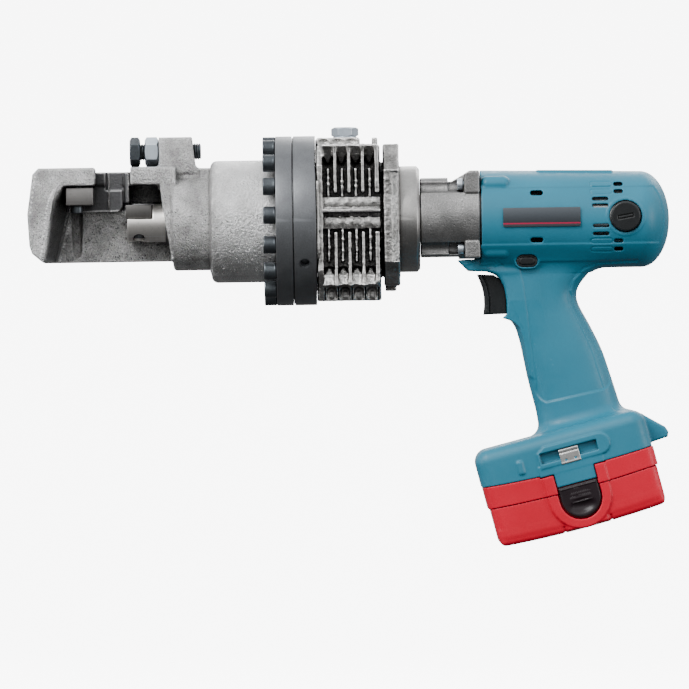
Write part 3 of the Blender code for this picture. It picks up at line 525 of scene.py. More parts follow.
def inside_box(n, low, high, soft=1.0):
    """White within a box given in tool millimetres, fading over a few tenths."""
    mask = 1.0
    for letter, centre, a, b in zip("XYZ", ORIGIN, low, high):
        middle, half = centre + (a + b) / 2 * MM, (b - a) / 2 * MM
        out = n.math("SUBTRACT", n.math("ABSOLUTE", n.math("SUBTRACT", n.axis(letter), middle)),
                     half)
        near = n.node("MapRange", Value=out, From_Min=-soft * MM, From_Max=0.0, To_Min=1.0,
                      To_Max=0.0).outputs["Result"]
        mask = n.math("MULTIPLY", near, mask)
    return mask


def cast_metal(name, light, dark, grain=900.0, depth=0.25, pitted=0.0, metallic=0.75,
               rough=(0.34, 0.52), hollow_shade_reach=0.006, edge_gain=0.5, machined_shaded=(),
               rough_below=None, painted_shade_wall=None, speckle=0.0):
    """Sand-cast metal: grainy, with painted shade in its hollows and brighter on convex edges.

    Within each box of smooth machining (low, high, grey) the face is smoother and is painted
    that dark grey as painted shade in a recess. Faces towards +X in the wall box are painted
    near black as painted shade. Pits are strong only below the Z rough_below.
    """
    n = Nodes(name)
    fine = n.noise(grain, 4.0, 0.65)
    broad = n.noise(70.0, 3.0, 0.5)
    colour = n.mix(n.ramp(broad, [(0.35, 0.0), (0.65, 1.0)]), dark, light)
    colour = n.mix(n.ramp(fine, [(0.3, 0.55), (0.7, 0.0)]), colour, tuple(c * 0.45 for c in dark))
    if speckle:
        dots = n.noise(grain * 1.7, 2.0, 0.5)
        colour = n.mix(n.ramp(dots, [(0.50, 0.0), (0.66, speckle)]), colour,
                       tuple(c * 0.25 for c in dark))
    if pitted:
        holes = n.ramp(n.pits(520.0), [(0.12, 1.0), (0.30, 0.0)])
        chosen = n.ramp(n.noise(200.0, 2.0), [(0.46, 0.0), (0.56, pitted)])
        if rough_below is not None:
            share = n.node("MapRange", Value=n.axis("Z"),
                           From_Min=ORIGIN.z + (rough_below + 0.6) * MM,
                           From_Max=ORIGIN.z + (rough_below - 0.6) * MM, To_Min=0.15, To_Max=1.0)
            chosen = n.math("MULTIPLY", chosen, share.outputs["Result"])
        spots = n.math("MULTIPLY", holes, chosen)
        colour = n.mix(spots, colour, tuple(c * 0.16 for c in dark))
        height = n.math("SUBTRACT", n.math("MULTIPLY", fine, 1.6), n.math("MULTIPLY", spots, 2.0))
    else:
        height = fine
    # painted shade: each box's face takes its dark grey as the shade in the recesses at the back
    # of the mouth; the weaker bump is the smoother machining
    for box_low, box_high, grey in machined_shaded:
        mask = inside_box(n, box_low, box_high)
        colour = n.mix(mask, colour, (grey, grey, grey * 1.03))
        height = n.math("MULTIPLY", height, n.math("SUBTRACT", 1.0, n.math("MULTIPLY", mask, 0.8)))
    # painted shade: faces turned towards +X inside this box, the inner wall of the mouth's arm,
    # are painted near black
    if painted_shade_wall:
        normal = n.tree.nodes.new("ShaderNodeNewGeometry").outputs["Normal"]
        facing = n.node("SeparateXYZ", Vector=normal).outputs["X"]
        mask = n.math("MULTIPLY", n.ramp(facing, [(0.3, 0.0), (0.9, 0.85)]),
                      inside_box(n, *painted_shade_wall))
        colour = n.mix(mask, colour, (0.05, 0.051, 0.053))
    colour = n.mix(n.math("MULTIPLY", n.edges(), edge_gain), colour,
                   tuple(min(1.0, c * 1.5) for c in light))
    # painted shade: the colour is darkened in hollows and corners, where shade falls
    shade = n.ramp(n.hollow_shade(hollow_shade_reach), [(0.25, 0.12), (0.75, 1.0)])
    colour = n.mix(1.0, colour, shade, "MULTIPLY")
    roughness = n.ramp(fine, [(0.2, rough[1]), (0.8, rough[0])])
    return n.done(colour, roughness, n.bump(height, depth), metallic)


def turned_metal(name, light, dark, axis="X", lines=1500.0, depth=0.02, metallic=0.9,
                 rough=(0.22, 0.36), spots=0.0):
    """Machined metal with fine marks that run round the axis."""
    n = Nodes(name)
    scale = {"X": (1, 0.02, 0.02), "Y": (0.02, 1, 0.02), "Z": (0.02, 0.02, 1)}[axis]
    marks = n.noise(lines, 2.0, 0.5, n.stretched(scale))
    cloud = n.noise(60.0, 3.0)
    colour = n.mix(n.ramp(cloud, [(0.3, 0.0), (0.7, 1.0)]), dark, light)
    colour = n.mix(n.ramp(marks, [(0.35, 0.25), (0.6, 0.0)]), colour, dark)
    if spots:
        stain = n.ramp(n.noise(500.0, 4.0), [(0.6, 0.0), (0.72, spots)])
        colour = n.mix(stain, colour, tuple(c * 0.4 for c in dark))
    colour = n.mix(n.math("MULTIPLY", n.edges(), 0.35), colour,
                   tuple(min(1.0, c * 1.4 + 0.05) for c in light))
    roughness = n.ramp(marks, [(0.2, rough[1]), (0.8, rough[0])])
    return n.done(colour, roughness, n.bump(marks, depth), metallic)


def moulded(name, light, dark, depth=0.035, rough=(0.36, 0.5), grain=1600.0, edge_lift=0.12,
            coat=0.0, sheen=0.5):
    """Moulded plastic: spark-eroded texture, slight mottling, lighter edges, painted shade in
    hollows.
    """
    n = Nodes(name)
    fine = n.noise(grain, 3.0, 0.6)
    cloud = n.noise(28.0, 3.0, 0.5)
    colour = n.mix(n.ramp(cloud, [(0.3, 0.0), (0.7, 1.0)]), dark, light)
    colour = n.mix(n.ramp(fine, [(0.3, 0.18), (0.6, 0.0)]), colour, tuple(c * 0.6 for c in dark))
    colour = n.mix(n.math("MULTIPLY", n.edges(0.5, 0.56), edge_lift), colour,
                   tuple(min(1.0, c * 1.25 + 0.10) for c in light))
    # painted shade: the colour is darkened in hollows and corners, where shade falls
    shade = n.ramp(n.hollow_shade(0.003), [(0.3, 0.35), (0.8, 1.0)])
    colour = n.mix(1.0, colour, shade, "MULTIPLY")
    roughness = n.ramp(n.noise(220.0, 2.0), [(0.3, rough[0]), (0.7, rough[1])])
    return n.done(colour, roughness, n.bump(fine, depth), 0.0, Coat_Weight=coat,
                  Coat_Roughness=0.25, Specular_IOR_Level=sheen)


def label_film():
    """Grey film with a plain crimson line along it and a darker lower edge."""
    n = Nodes("label_film")
    low, high = span("name_plate")
    middle = (ORIGIN.z + (low.z + high.z) / 2 * MM, (high.z - low.z) * MM)
    share = n.math("DIVIDE", n.math("SUBTRACT", n.axis("Z"), middle[0] - middle[1] / 2), middle[1])
    colour = n.ramp(share, [(0.0, (0.045, 0.052, 0.06)),
                            (0.130, (0.045, 0.052, 0.06)),
                            (0.135, (0.42, 0.01, 0.06)), (0.205, (0.42, 0.01, 0.06)),
                            (0.210, (0.025, 0.031, 0.038)), (1.0, (0.06, 0.072, 0.085))])
    grain = n.noise(1400.0, 2.0)
    colour = n.mix(n.ramp(grain, [(0.3, 0.15), (0.7, 0.0)]), colour, (0.03, 0.03, 0.035))
    return n.done(colour, n.ramp(grain, [(0.3, 0.3), (0.7, 0.42)]), n.bump(grain, 0.01), 0.2)


def make_materials():
    steel, shadow = (0.78, 0.775, 0.77), (0.40, 0.395, 0.39)
    return {
        "cast_steel": cast_metal("cast_steel", steel, shadow, 800.0, 0.9, 1.0, 1.0, (0.26, 0.42),
                                 hollow_shade_reach=0.012, rough_below=8.0, speckle=0.55,
                                 # the wall box paints shade near black on the inner wall of the
                                 # mouth's arm
                                 painted_shade_wall=((-42, -25, -31), (-14, 15, 27)), machined_shaded=(
                                     # these boxes paint the pad and the recesses at the back of
                                     # the mouth dark grey as painted shade
                                     ((-20, 8.6, 8.6), (10.5, 16, 38.4), 0.06),
                                     ((10.5, 8.6, 8.6), (24.5, 16.5, 38.4), 0.11),
                                     ((24, 10, 8.6), (48, 27.4, 27), 0.04))),
        "cast_barrel": cast_metal("cast_barrel", steel, shadow, 650.0, 0.9, 0.8, 1.0, (0.26, 0.42),
                                  rough_below=4.0, speckle=0.4),
        "cast_aluminium": cast_metal("cast_aluminium", (0.64, 0.63, 0.615), (0.24, 0.235, 0.225),
                                     600.0, 0.3, 0.4, 1.0, (0.22, 0.42), 0.012, 0.9,
                                     speckle=0.4),
        "gear_case": cast_metal("gear_case_cast", (0.34, 0.335, 0.33), (0.22, 0.218, 0.215),
                                900.0, 0.2, 0.3, 0.85, (0.30, 0.44), 0.006, 0.6, speckle=0.4),
        "gunmetal": cast_metal("gunmetal", (0.165, 0.172, 0.182), (0.12, 0.125, 0.133),
                               1300.0, 0.08, 0.0, 0.7, (0.36, 0.48), 0.003, 0.6, speckle=0.3),
        "black_oxide": cast_metal("black_oxide", (0.095, 0.108, 0.118), (0.050, 0.058, 0.066),
                                  900.0, 0.03, 0.0, 0.75, (0.26, 0.38), 0.003, 0.8),
        "zinc": turned_metal("zinc", (0.66, 0.74, 0.82), (0.44, 0.50, 0.57), "X", 900.0, 0.01,
                             0.85, (0.25, 0.38), 0.2),
        "thread": cast_metal("thread", (0.10, 0.105, 0.11), (0.05, 0.052, 0.055),
                             900.0, 0.02, 0.0, 0.8, (0.3, 0.42), 0.002, 0.8),
        "satin_steel": turned_metal("satin_steel", (0.55, 0.545, 0.53), (0.36, 0.355, 0.345)),
        "rod_steel": turned_metal("rod_steel", (0.84, 0.81, 0.77), (0.66, 0.635, 0.60), "X",
                                  1100.0, 0.01, 0.9, (0.28, 0.4), 0.3),
        "tool_steel": turned_metal("tool_steel", (0.20, 0.192, 0.185), (0.11, 0.106, 0.102), "Z",
                                   900.0, 0.02, 0.9, (0.3, 0.42), 0.6),
        "tool_steel_dark": turned_metal("tool_steel_dark", (0.10, 0.096, 0.092),
                                        (0.055, 0.053, 0.05), "X", 900.0, 0.02, 0.9, (0.3, 0.42),
                                        0.4),
        "collar": cast_metal("collar", (0.42, 0.41, 0.40), (0.30, 0.295, 0.285), 1100.0, 0.08,
                             0.0, 1.0, (0.30, 0.42), 0.004, 0.8, speckle=0.35),
        "copper": turned_metal("copper", (0.55, 0.27, 0.15), (0.35, 0.16, 0.09), "Z"),
        "carbon": moulded("carbon", (0.05, 0.05, 0.05), (0.03, 0.03, 0.03), 0.03, (0.6, 0.7)),
        "rubber": moulded("rubber", (0.03, 0.03, 0.03), (0.018, 0.018, 0.018), 0.02, (0.6, 0.75)),
        "teal": moulded("teal", (0.020, 0.178, 0.268), (0.015, 0.155, 0.235), sheen=0.35),
        "red": moulded("red", (0.60, 0.004, 0.028), (0.53, 0.003, 0.021), 0.025, (0.32, 0.44),
                       1400.0, 0.05, 0.0, 0.28),
        "black": moulded("black", (0.009, 0.011, 0.012), (0.005, 0.006, 0.007), 0.03,
                         (0.3, 0.42), 1500.0, 0.3, sheen=0.3),
        "latch": moulded("latch", (0.012, 0.006, 0.009), (0.007, 0.003, 0.005), 0.02,
                         (0.26, 0.38), 1500.0, 0.3, sheen=0.3),
        "wrap": moulded("wrap", (0.08, 0.20, 0.11), (0.06, 0.15, 0.08), 0.02, (0.35, 0.5)),
        "label": label_film(),
    }


MATERIALS = make_materials()

# what each of the record's slots looks like on a CAD node that stays
SLOT_LOOKS = {
    "cast_steel": "cast_steel", "cast_aluminium": "cast_aluminium", "dark_steel": "gunmetal",
    "machined_steel": "satin_steel", "tool_steel": "tool_steel", "zinc_steel": "zinc",
    "black_screw": "black_oxide", "copper": "copper", "carbon": "carbon",
    "seal_rubber": "rubber", "teal_plastic": "teal", "red_plastic": "red",
    "black_plastic": "black", "grey_label": "label", "cell_wrap": "wrap"}


def dress_cad_nodes():
    for part in frame["record"]["subparts"]:
        node = frame["nodes"][part["node"]]
        node.data.materials.clear()
        node.data.materials.append(MATERIALS[SLOT_LOOKS[part["material_slot"]]])
        node.data.set_sharp_from_angle(angle=math.radians(35))


# ------------------------------------------------------------------ head


def head_front():
    """The C-shaped head with its barrel's front, up to the large barrel."""
    spine = 11.0                                        # inner face of the mouth's back
    f = Field((-49, -37, -37), (85, 37, 63), 0.5)
    f.add(prism([(-46.0, 7.0), (-44.8, -15.0), (-43.0, -20.5), (-35.3, -27.0), (56, -27.0),
                 (56, 39), (-37.9, 39), (-42.0, 34.8), (-44.8, 15.3)], -24, 30, 1.8))
    # the barrel's front and the neck in front of it
    f.add(cylinder("X", 54.6, 88, (0, 0), 33.7, 3.5), 2.0)
    f.add(cylinder("X", 49.5, 60, (0, 0), 24.5, 2.5), 3.0)
    # mouth: straight back wall, sloping arm and neck
    slot = [(1.3, 70), (1.3, 25.4), (-20, 25.4), (-18.0, 8.3), (-26.4, -26), (-34, -60),
            (47.0, -60), (47.0, 26.8), (26.5, 26.8), (26.5, 70)]
    f.carve(prism(slot, -60, spine), 0.8)
    arm = prism([(-20.0, 25.4), (-23.6, 21.6), (-26.4, 16.0), (-28.2, 9.6), (-29.4, 1.4),
                 (-30.4, -8.0), (-31.8, -18.0), (-33.6, -27.0), (-44, -60), (30, -60),
                 (30, 25.4)], -60, spine)
    f.carve(Shape(lambda x, y, z: arm.distance(
        x - (y + 24) * (0.255 + 0.003 * np.clip(z, -27, 25)), y, z), arm.low, arm.high), 4.0)
    neck = prism([(20, 24), (46.6, 24), (47.6, 17), (54.6, -27), (60, -60), (20, -60)],
                 -60, spine)
    f.carve(neck, 1.4)
    # the spine below the seat is set back, with a pad for the bar to lie on
    lower = [(-17.6, 8.3), (-26.6, -26), (-31, -45), (60, -45), (53, -20), (47.5, 13),
             (47.5, 26.2),
             (20.4, 26.2), (20.4, 13.2)] + arc((15.8, 12.9), 4.6, 0, -90) + [(10, 8.3)]
    f.carve(prism(lower, 0, 15.0, 1.8), 0.9)
    f.carve(prism([(20.6, 14.2), (20.6, 70), (26.6, 70), (26.6, 26.4), (47, 26.4), (47, 14.2)],
                  0, 16.0), 1.0)
    f.carve(prism([(24.8, 14.6), (24.8, 26.4), (46.2, 26.4), (46.2, 14.6)], 0, 27.0), 1.0)
    f.carve(prism([(8.5, 23.6), (8.5, 70), (20.4, 70), (20.4, 23.6)], 0, 13.4), 0.6)
    f.add(cylinder("Z", 14.5, 38.9, (23.4, 14.5), 2.6), 1.5)
    f.carve(prism([(1.0, 36.2), (1.0, 70), (27.0, 70), (27.0, 36.2)], 0, 60), 0.8)
    # groove for the key of the fixed cutter's screw, narrowing to its lower end
    def groove(x, y, z):
        half = (4.3 - np.clip(6 - z, 0, 31) * 0.03) * np.sqrt(np.clip((z + 24.6) / 5, 0.01, 1))
        q = np.sqrt(((x + 12.2) / half) ** 2 + ((y - 13.5) / (half * 1.4)) ** 2)
        return np.maximum((q - 1) * half, np.maximum(z - 14, -24.0 - z))
    f.carve(Shape(groove, (-17.2, 5, -24), (-7.2, 26, 14)), 0.9)
    # rod's guide bore and the piston's bore behind it
    f.carve(cylinder("X", 40, 90, (0, 0), 14.3), 0.8)
    f.carve(cylinder("X", 66, 99, (0, 0), 27.6), 0.4)
    # ledge over the mouth, narrowing to the boss for the stopper bolt
    f.add(prism([(26.7, 26.8), (44.2, 26.8)] + arc((44.2, 23.6), 3.2, 90, 0)
                + [(52, 16), (58, 23), (58, 38.4), (26.7, 38.4)], -23.4, 20, 1.2), 0.6)
    f.add(prism([(46, 24), (84, 24), (84, 37.8), (46, 37.8)], -11.5, 11.5, 1.5), 4.0)
    f.add(prism([(46.4, 34), (73.5, 34), (71.6, 41), (69.4, 59.6), (46.4, 59.6)],
                -13.5, 12.5, 2.0), 3.2)
    f.carve(cylinder("X", 40, 80, (0, STOPPER_Z), 6.1))
    f.carve(cylinder("X", 44.5, 47.4, (0, STOPPER_Z), 7.2, 0, 6.1))
    f.carve(cylinder("Z", 20, 35, FIXED_SCREW, 2.8))
    # raised casting lines: round the beam and ledge, and the mould's parting line
    f.emboss(prism([(-31.0, 3), (-28.6, 16), (-25.6, 26.0), (-21.0, 31.4), (1.8, 31.9),
                    (1.8, 31.2), (-20.6, 30.7), (-24.9, 25.6), (-27.9, 16), (-30.3, 3)],
                   -30, 0), 0.4, 0.9)
    f.emboss(prism([(26, 31.5), (46, 31.5), (49.6, 28.4), (50.4, 20), (49.7, 20), (48.9, 28.0),
                    (45.6, 30.8), (26, 30.8)], -30, 0), 0.3, 0.9)
    f.emboss(prism([(55.5, 4.4), (75, 3.6), (80, 5.6), (80, 6.4), (75, 4.5), (55.5, 5.3)],
                   -40, 0), 0.3, 0.9)
    return f.trim(half_space("X", 83.0, -1))


def make_head():
    piece = surface(head_front(), "head_casting_front")
    dress(piece, "tool", "cast_steel", "cast_steel", "head_casting")
    low, high = span("flange_ring")
    end, bore, radius = high.x, 27.4, 42.7
    profile = ([(end, radius), (end, bore), (82.5, bore), (81.2, 32.8), (80.9, 34.3)]
               + [(82.0, 37.6)] + arc((86.6, radius - 4.6), 4.6, 180, 90, 6))
    dress(lathe("cylinder_barrel", profile, 180), "tool", "cast_barrel", "cast_steel")


def keyed_screw(name, ends, head, radii, key, centre, axis, sides, bevel):
    """A turned screw: head radius and shank radius, with a hexagonal key socket."""
    start, end = ends
    screw = lathe(name, soften([(start, 0), (start, radii[0]), (start + head, radii[0]),
                                (start + head, radii[1]), (end, radii[1]), (end, 0)], bevel),
                  sides, centre, axis)
    deep = start + key[1]
    return cut_with(screw, lathe("key", [(start - 1, 0), (start - 1, key[0]), (deep, key[0]),
                                         (deep, 0)], 6, centre, axis))


def make_cutters():
    low, high = span("fixed_cutter")
    fixed = bevelled_box("fixed_cutter_block", low, high, 0.55)
    cut_with(fixed, lathe("hole", [(0, 0), (0, 2.8), (40, 2.8), (40, 0)], 32, FIXED_SCREW, "Z"))
    dress(fixed, "tool", "tool_steel", "tool_steel", "fixed_cutter")
    low, high = span("moving_cutter")
    moving = bevelled_box("moving_cutter_block", low, high, 0.55)
    cut_with(moving, lathe("hole", [(-5, 0), (-5, 2.8), (20, 2.8), (20, 0)], 32, MOVING_SCREW,
                           "Z"))
    dress(moving, "piston", "tool_steel_dark", "tool_steel", "moving_cutter")
    for node, place, head, body in (("fixed_cutter_screw", FIXED_SCREW, 5.1, "tool"),
                                    ("moving_cutter_screw", MOVING_SCREW, 5.0, "piston")):
        low, high = span(node)
        screw = keyed_screw(node + "_turned", (low.z, high.z), head, (4.2, 2.4), (2.2, 3), place,
                            "Z", 48, 0.4)
        dress(screw, body, "black_oxide", "black_screw", node)


def make_rod():
    f = Field((21, -16, -16), (61, 16, 16), 0.3)
    f.add(cylinder("X", 23.5, 70, (0, 0), ROD_RADIUS, 1.0))
    f.carve(block((10, -20, 2.8), (41.3, 20, 30)), 0.5)
    f.carve(cylinder("Z", -30, -5.2, MOVING_SCREW, 4.7), 0.4)
    f.carve(cylinder("Z", -30, 10, MOVING_SCREW, 2.8), 0.2)

    def lead_in(x, y, z):
        across = y * math.cos(0.6) - z * math.sin(0.6)
        deep = -y * math.sin(0.6) - z * math.cos(0.6)
        return np.maximum(np.sqrt((x - 31.6) ** 2 + across ** 2) - 4.4, 7.5 - deep)
    f.carve(Shape(lead_in, (27, -16, -16), (37, 1, -4)), 0.4)
    f.trim(half_space("X", 60, -1))
    dress(surface(f, "piston_rod_front"), "piston", "rod_steel", "machined_steel", "piston")
    low, high = span("piston")
    groove = 23.8                                       # the seal's groove
    piston = [(59.9, 0), (59.9, ROD_RADIUS), (112, ROD_RADIUS), (112, PISTON_RADIUS),
              (118, PISTON_RADIUS), (118, groove), (123.2, groove), (123.2, PISTON_RADIUS),
              (high.x, PISTON_RADIUS), (high.x, 0)]
    dress(lathe("piston_body", piston, 96, bevel=0.4), "piston", "satin_steel", "machined_steel")


def hexagon(axis, start, end, centre, apothem, chamfer, corner_up=True):
    """Hexagonal prism with its ends chamfered by a cone."""
    circle = cylinder(axis, start, end, centre, apothem * 1.154, chamfer)

    def distance(x, y, z):
        along, u, v = split(axis, x, y, z)
        u, v = np.abs(u - centre[0]), np.abs(v - centre[1])
        if not corner_up:
            u, v = v, u
        flats = np.maximum(u, u * 0.5 + v * 0.8660254) - apothem
        ends = slab(along, start, end)
        body = rounded_join(flats, ends, 0.3)
        out = np.sqrt(u * u + v * v)
        cone = (out - apothem) * 0.5 + (ends + 0.45) * 0.866
        return np.maximum(body, cone)
    return Shape(distance, circle.low, circle.high)


def screw_thread(axis_point, start, end, radius, pitch, depth):
    """Cylinder along X with a triangular thread."""
    y0, z0 = axis_point

    def distance(x, y, z):
        angle = np.arctan2(z - z0, y - y0) / (2 * math.pi)
        phase = x / pitch - angle
        wave = np.abs(phase - np.floor(phase) - 0.5) * 2
        out = np.sqrt((y - y0) ** 2 + (z - z0) ** 2)
        ends = slab(x, start, end)
        tapered = np.maximum(0, 1.0 + ends) * 0.6
        return np.maximum((out - radius + depth * wave + tapered) * 0.8, ends)
    return Shape(distance, [start, y0 - radius, z0 - radius], [end, y0 + radius, z0 + radius])


def make_stopper():
    low, high = span("stopper_bolt")
    z = middle_of("stopper_bolt")[2]
    f = Field((low.x - 1, -12, z - 12), (high.x + 1, 12, z + 12), 0.25)
    f.add(screw_thread((0, z), low.x + 6, high.x, 5.9, 1.75, 0.9))
    f.add(hexagon("X", low.x, low.x + 7.4, (0, z), 9.1, 0.6), 0.3)
    f.carve(cylinder("X", low.x - 3, low.x + 0.35, (0, z), 5.4, 0.2), 0.3)
    dress(surface(f, "stopper_bolt_threaded"), "stopper", "black_oxide", "black_screw",
          "stopper_bolt")
    low, high = span("stopper_nut")
    f = Field((low.x - 1, -12, z - 12), (high.x + 1, 12, z + 12), 0.25)
    f.add(hexagon("X", low.x, high.x, (0, z), 9.1, 0.6))
    f.carve(cylinder("X", low.x - 3, high.x + 3, (0, z), 6.0), 0.5)
    dress(surface(f, "stopper_nut_hex"), "tool", "zinc", "zinc_steel", "stopper_nut")


# ------------------------------------------------------------------ flange and pump


def make_flange():
    low, high = span("flange_ring")
    r = high.z
    ring = lathe("flange_ring_turned", [
        (low.x, 43.0), (low.x, r), (high.x, r), (high.x, 47.0), (low.x + 7.7, 47.0),
        (low.x + 7.7, 43.0)], 220, bevel=0.6)
    dress(ring, "tool", "gunmetal", "dark_steel", "flange_ring")
    low, high = span("pump_case")
    joint = r - 1.1
    case = lathe("pump_case_turned", [
        (low.x - 0.8, 0), (low.x - 0.8, joint), (low.x, joint), (low.x, r), (high.x, r),
        (high.x, 0)], 220, bevel=0.6)
    angle = math.radians(211)
    middle = (low.x + high.x) / 2 - 0.5
    for deep, wide in ((6.0, 3.35), (1.0, 3.9)):
        hole = lathe("hole", [(-deep, 0), (-deep, wide), (5, wide), (5, 0)], 40, axis="Y")
        hole.data.transform(Matrix.Translation(-ORIGIN))
        hole.data.transform(Matrix.Translation((0, r * MM, 0)))
        hole.data.transform(Matrix.Translation(ORIGIN + Vector((middle * MM, 0, 0)))
                            @ Matrix.Rotation(angle, 4, "X"))
        cut_with(case, hole)
    dress(case, "tool", "gunmetal", "dark_steel", "pump_case")


SCREW_TURN = math.radians(18.7)


def cap_screw_field():
    """One cap screw's head about the X axis, seat at X = 0, with knurled side and key socket."""
    long, radius = 8.8, 6.15
    f = Field((-long - 1, -8, -8), (1.2, 8, 8), 0.25)

    def knurled(x, y, z):
        angle = np.arctan2(z, y)
        ridges = 0.16 * np.abs(np.sin(angle * 22)) * (np.abs(x + long / 2) < long / 2 - 1.4)
        return rounded_join(np.sqrt(y * y + z * z) - radius + ridges, slab(x, -long, 0), 0.9)
    f.add(Shape(knurled, (-long, -radius, -radius), (0, radius, radius)))
    f.carve(cylinder("X", -long - 1, -long + 0.5, (0, 0), 4.4, 0.2), 0.3)
    f.carve(hexagon("X", -long - 2, -long + 4.5, (0, 0), 3.0, 0))
    return f


def make_flange_screws():
    low, high = span("flange_screws")
    one = surface(cap_screw_field(), "one_screw")
    count = len(one.data.vertices)
    points = np.zeros(count * 3, np.float32)
    one.data.vertices.foreach_get("co", points)
    points = (points.reshape(-1, 3) - np.array(ORIGIN)) / MM
    loops = np.zeros(len(one.data.loops), np.int32)
    one.data.loops.foreach_get("vertex_index", loops)
    quads = loops.reshape(-1, 4)
    circle, screws, seat = 53.0, 16, span("flange_ring")[0].x
    vertices, faces = [], []
    for index in range(screws):
        angle = SCREW_TURN + 2 * math.pi * index / screws
        turn = index * 2.4
        c, s = math.cos(turn), math.sin(turn)
        y, z = points[:, 1] * c - points[:, 2] * s, points[:, 1] * s + points[:, 2] * c
        place = (points[:, 0] + seat, y + circle * math.cos(angle), z + circle * math.sin(angle))
        vertices.append(np.stack(place, 1))
        faces.append(quads + index * count)
    bpy.data.objects.remove(one, do_unlink=True)
    piece = mesh_object("flange_screw_heads", np.concatenate(vertices), np.concatenate(faces))
    dress(piece, "tool", "black_oxide", "black_screw", "flange_screws")


def cast_noise(shape, seed, scale):
    """Smooth random field for a cast surface's waviness, on the grid of a Field."""
    random = np.random.default_rng(seed)
    size = [max(4, int(n / scale) + 3) for n in shape]
    coarse = random.standard_normal(size).astype(np.float32)
    for axis, (n, m) in enumerate(zip(shape, size)):
        position = np.linspace(0, m - 2.001, n)
        first = position.astype(int)
        share = (position - first).astype(np.float32)
        share = share * share * (3 - 2 * share)
        shape_of = [1, 1, 1]
        shape_of[axis] = -1
        share = share.reshape(shape_of)
        coarse = (np.take(coarse, first, axis) * (1 - share)
                  + np.take(coarse, first + 1, axis) * share)
    return coarse


FIN_X = 156.5
LONG_FINS = (169.2, 178.9, 188.4, 198.2)
THIN_FINS = (164.4, 174.0, 183.6, 193.2)


def fin_field():
    """The finned oil housing."""
    f = Field((154.6, -52, -59), (203, 52, 60), 0.45)
    f.add(prism([(-50, -36), (-36, -46), (-30, -56.4), (30, -56.4), (36, -46), (50, -36),
                 (50, 38), (38, 51.6), (-38, 51.6), (-50, 38)], FIN_X, 200.4, 1.4, "X"))
    f.add(block((FIN_X, -24, 40), (186.8, 24, 57.4), 1.6), 1.5)
    f.add(cylinder("X", 155.8, 157.4, (0, 0), 56.4))
    f.add(cylinder("X", 198, 201.4, (0, 0), 40.5))
    # bays on both sides, with scooped ends
    for bay in ([(37, 15.6), (37, 41), (46, 47.5), (54, 50.4), (54, 15.6)],
                [(37, -6.6), (37, -33), (46, -39.5), (54, -43.8), (54, -6.6)]):
        f.carve(both_sides(prism(bay, 160.4, 200.2, 0, "X")), 1.2)
    for index, x in enumerate(LONG_FINS):
        wide = 1.0 if index < 3 else 1.35
        for low, high in ((18.6, 51), (-44, -8.8)):
            f.add(both_sides(block((x - wide, 34, low), (x + wide, 49.6, high), 0.7)), 0.8)
    for x in THIN_FINS:
        for low, high in ((9, 35.6), (-29.4, -3)):
            f.add(both_sides(block((x - 0.75, 34, low), (x + 0.75, 47.2, high), 0.6)), 1.2)
        for root, tip in ((51.5, 39.5), (-45.5, -34.0)):
            cusp = prism([(x - 4.3, root), (x + 4.3, root), (x + 0.9, tip), (x - 0.9, tip)],
                         36, 49.5)
            f.add(both_sides(Shape(
                lambda x, y, z, cusp=cusp, tip=tip: np.maximum(
                    cusp.distance(x, y, z), (y - 42.5 - np.abs(z - tip) * 0.55) * 0.87),
                cusp.low, cusp.high)), 3.2)
        for z in (22.0, 26.0, -14.0, -22.0):
            f.add(both_sides(ball((x + 0.3, 45.5, z + (x % 3)), (1.3, 2.0, 1.6))), 0.8)
    # ledges above and below the middle rib
    f.carve(both_sides(block((160.4, 45.4, 8.0), (201, 60, 15.8))), 1.0)
    f.carve(both_sides(block((160.4, 45.2, -7.0), (201, 60, 1.5))), 1.0)
    f.carve(both_sides(block((160.4, 41.0, 1.6), (201, 60, 4.9), 0.5)), 0.5)
    f.carve(both_sides(block((160.4, 46.0, 7.2), (201, 60, 8.2))), 0.4)
    for index in range(8):
        x = 163.6 + index * 4.8
        f.add(both_sides(ball((x, 44.6, 10.6 + 1.2 * (index % 2)), (2.6, 1.5, 2.4))), 1.6)
        f.add(both_sides(ball((x, 44.4, -1.8 - 1.2 * (index % 2)), (2.6, 1.5, 2.4))), 1.6)
    # oval scallops in the top pad, arches in the lower pad
    for x in (161.8, 171.4, 181.0):
        f.carve(both_sides(ball((x, 25.0, 54.7), (3.9, 2.4, 2.6))), 0.8)
    for x in (165.8, 175.2, 184.7, 194.0):
        f.carve(both_sides(block((x - 3.7, 28.6, -62), (x + 3.7, 60, -46.8), 3.4)), 0.8)
        f.add(both_sides(block((x - 2.7, 20, -55.6), (x + 2.7, 29.6, -48.6), 2.4)), 0.8)
    for x in (161.2, 170.5, 180.0, 189.3, 198.6):
        f.carve(both_sides(block((x - 0.45, 27.5, -60), (x + 0.45, 60, -47.2))), 0.6)
    f.add(cylinder("Z", 45, 57.2, (197.2, -17.0), 2.0, 1.0), 0.8)
    f.carve(cylinder("X", 160, 210, (0, 0), 36.8), 0.6)
    f.carve(cylinder("Z", 30, 70, (176.5, 0), 6.6), 0.3)
    f.d += 0.10 * cast_noise(f.d.shape, 7, 6) + 0.05 * cast_noise(f.d.shape, 8, 2.5)
    return f


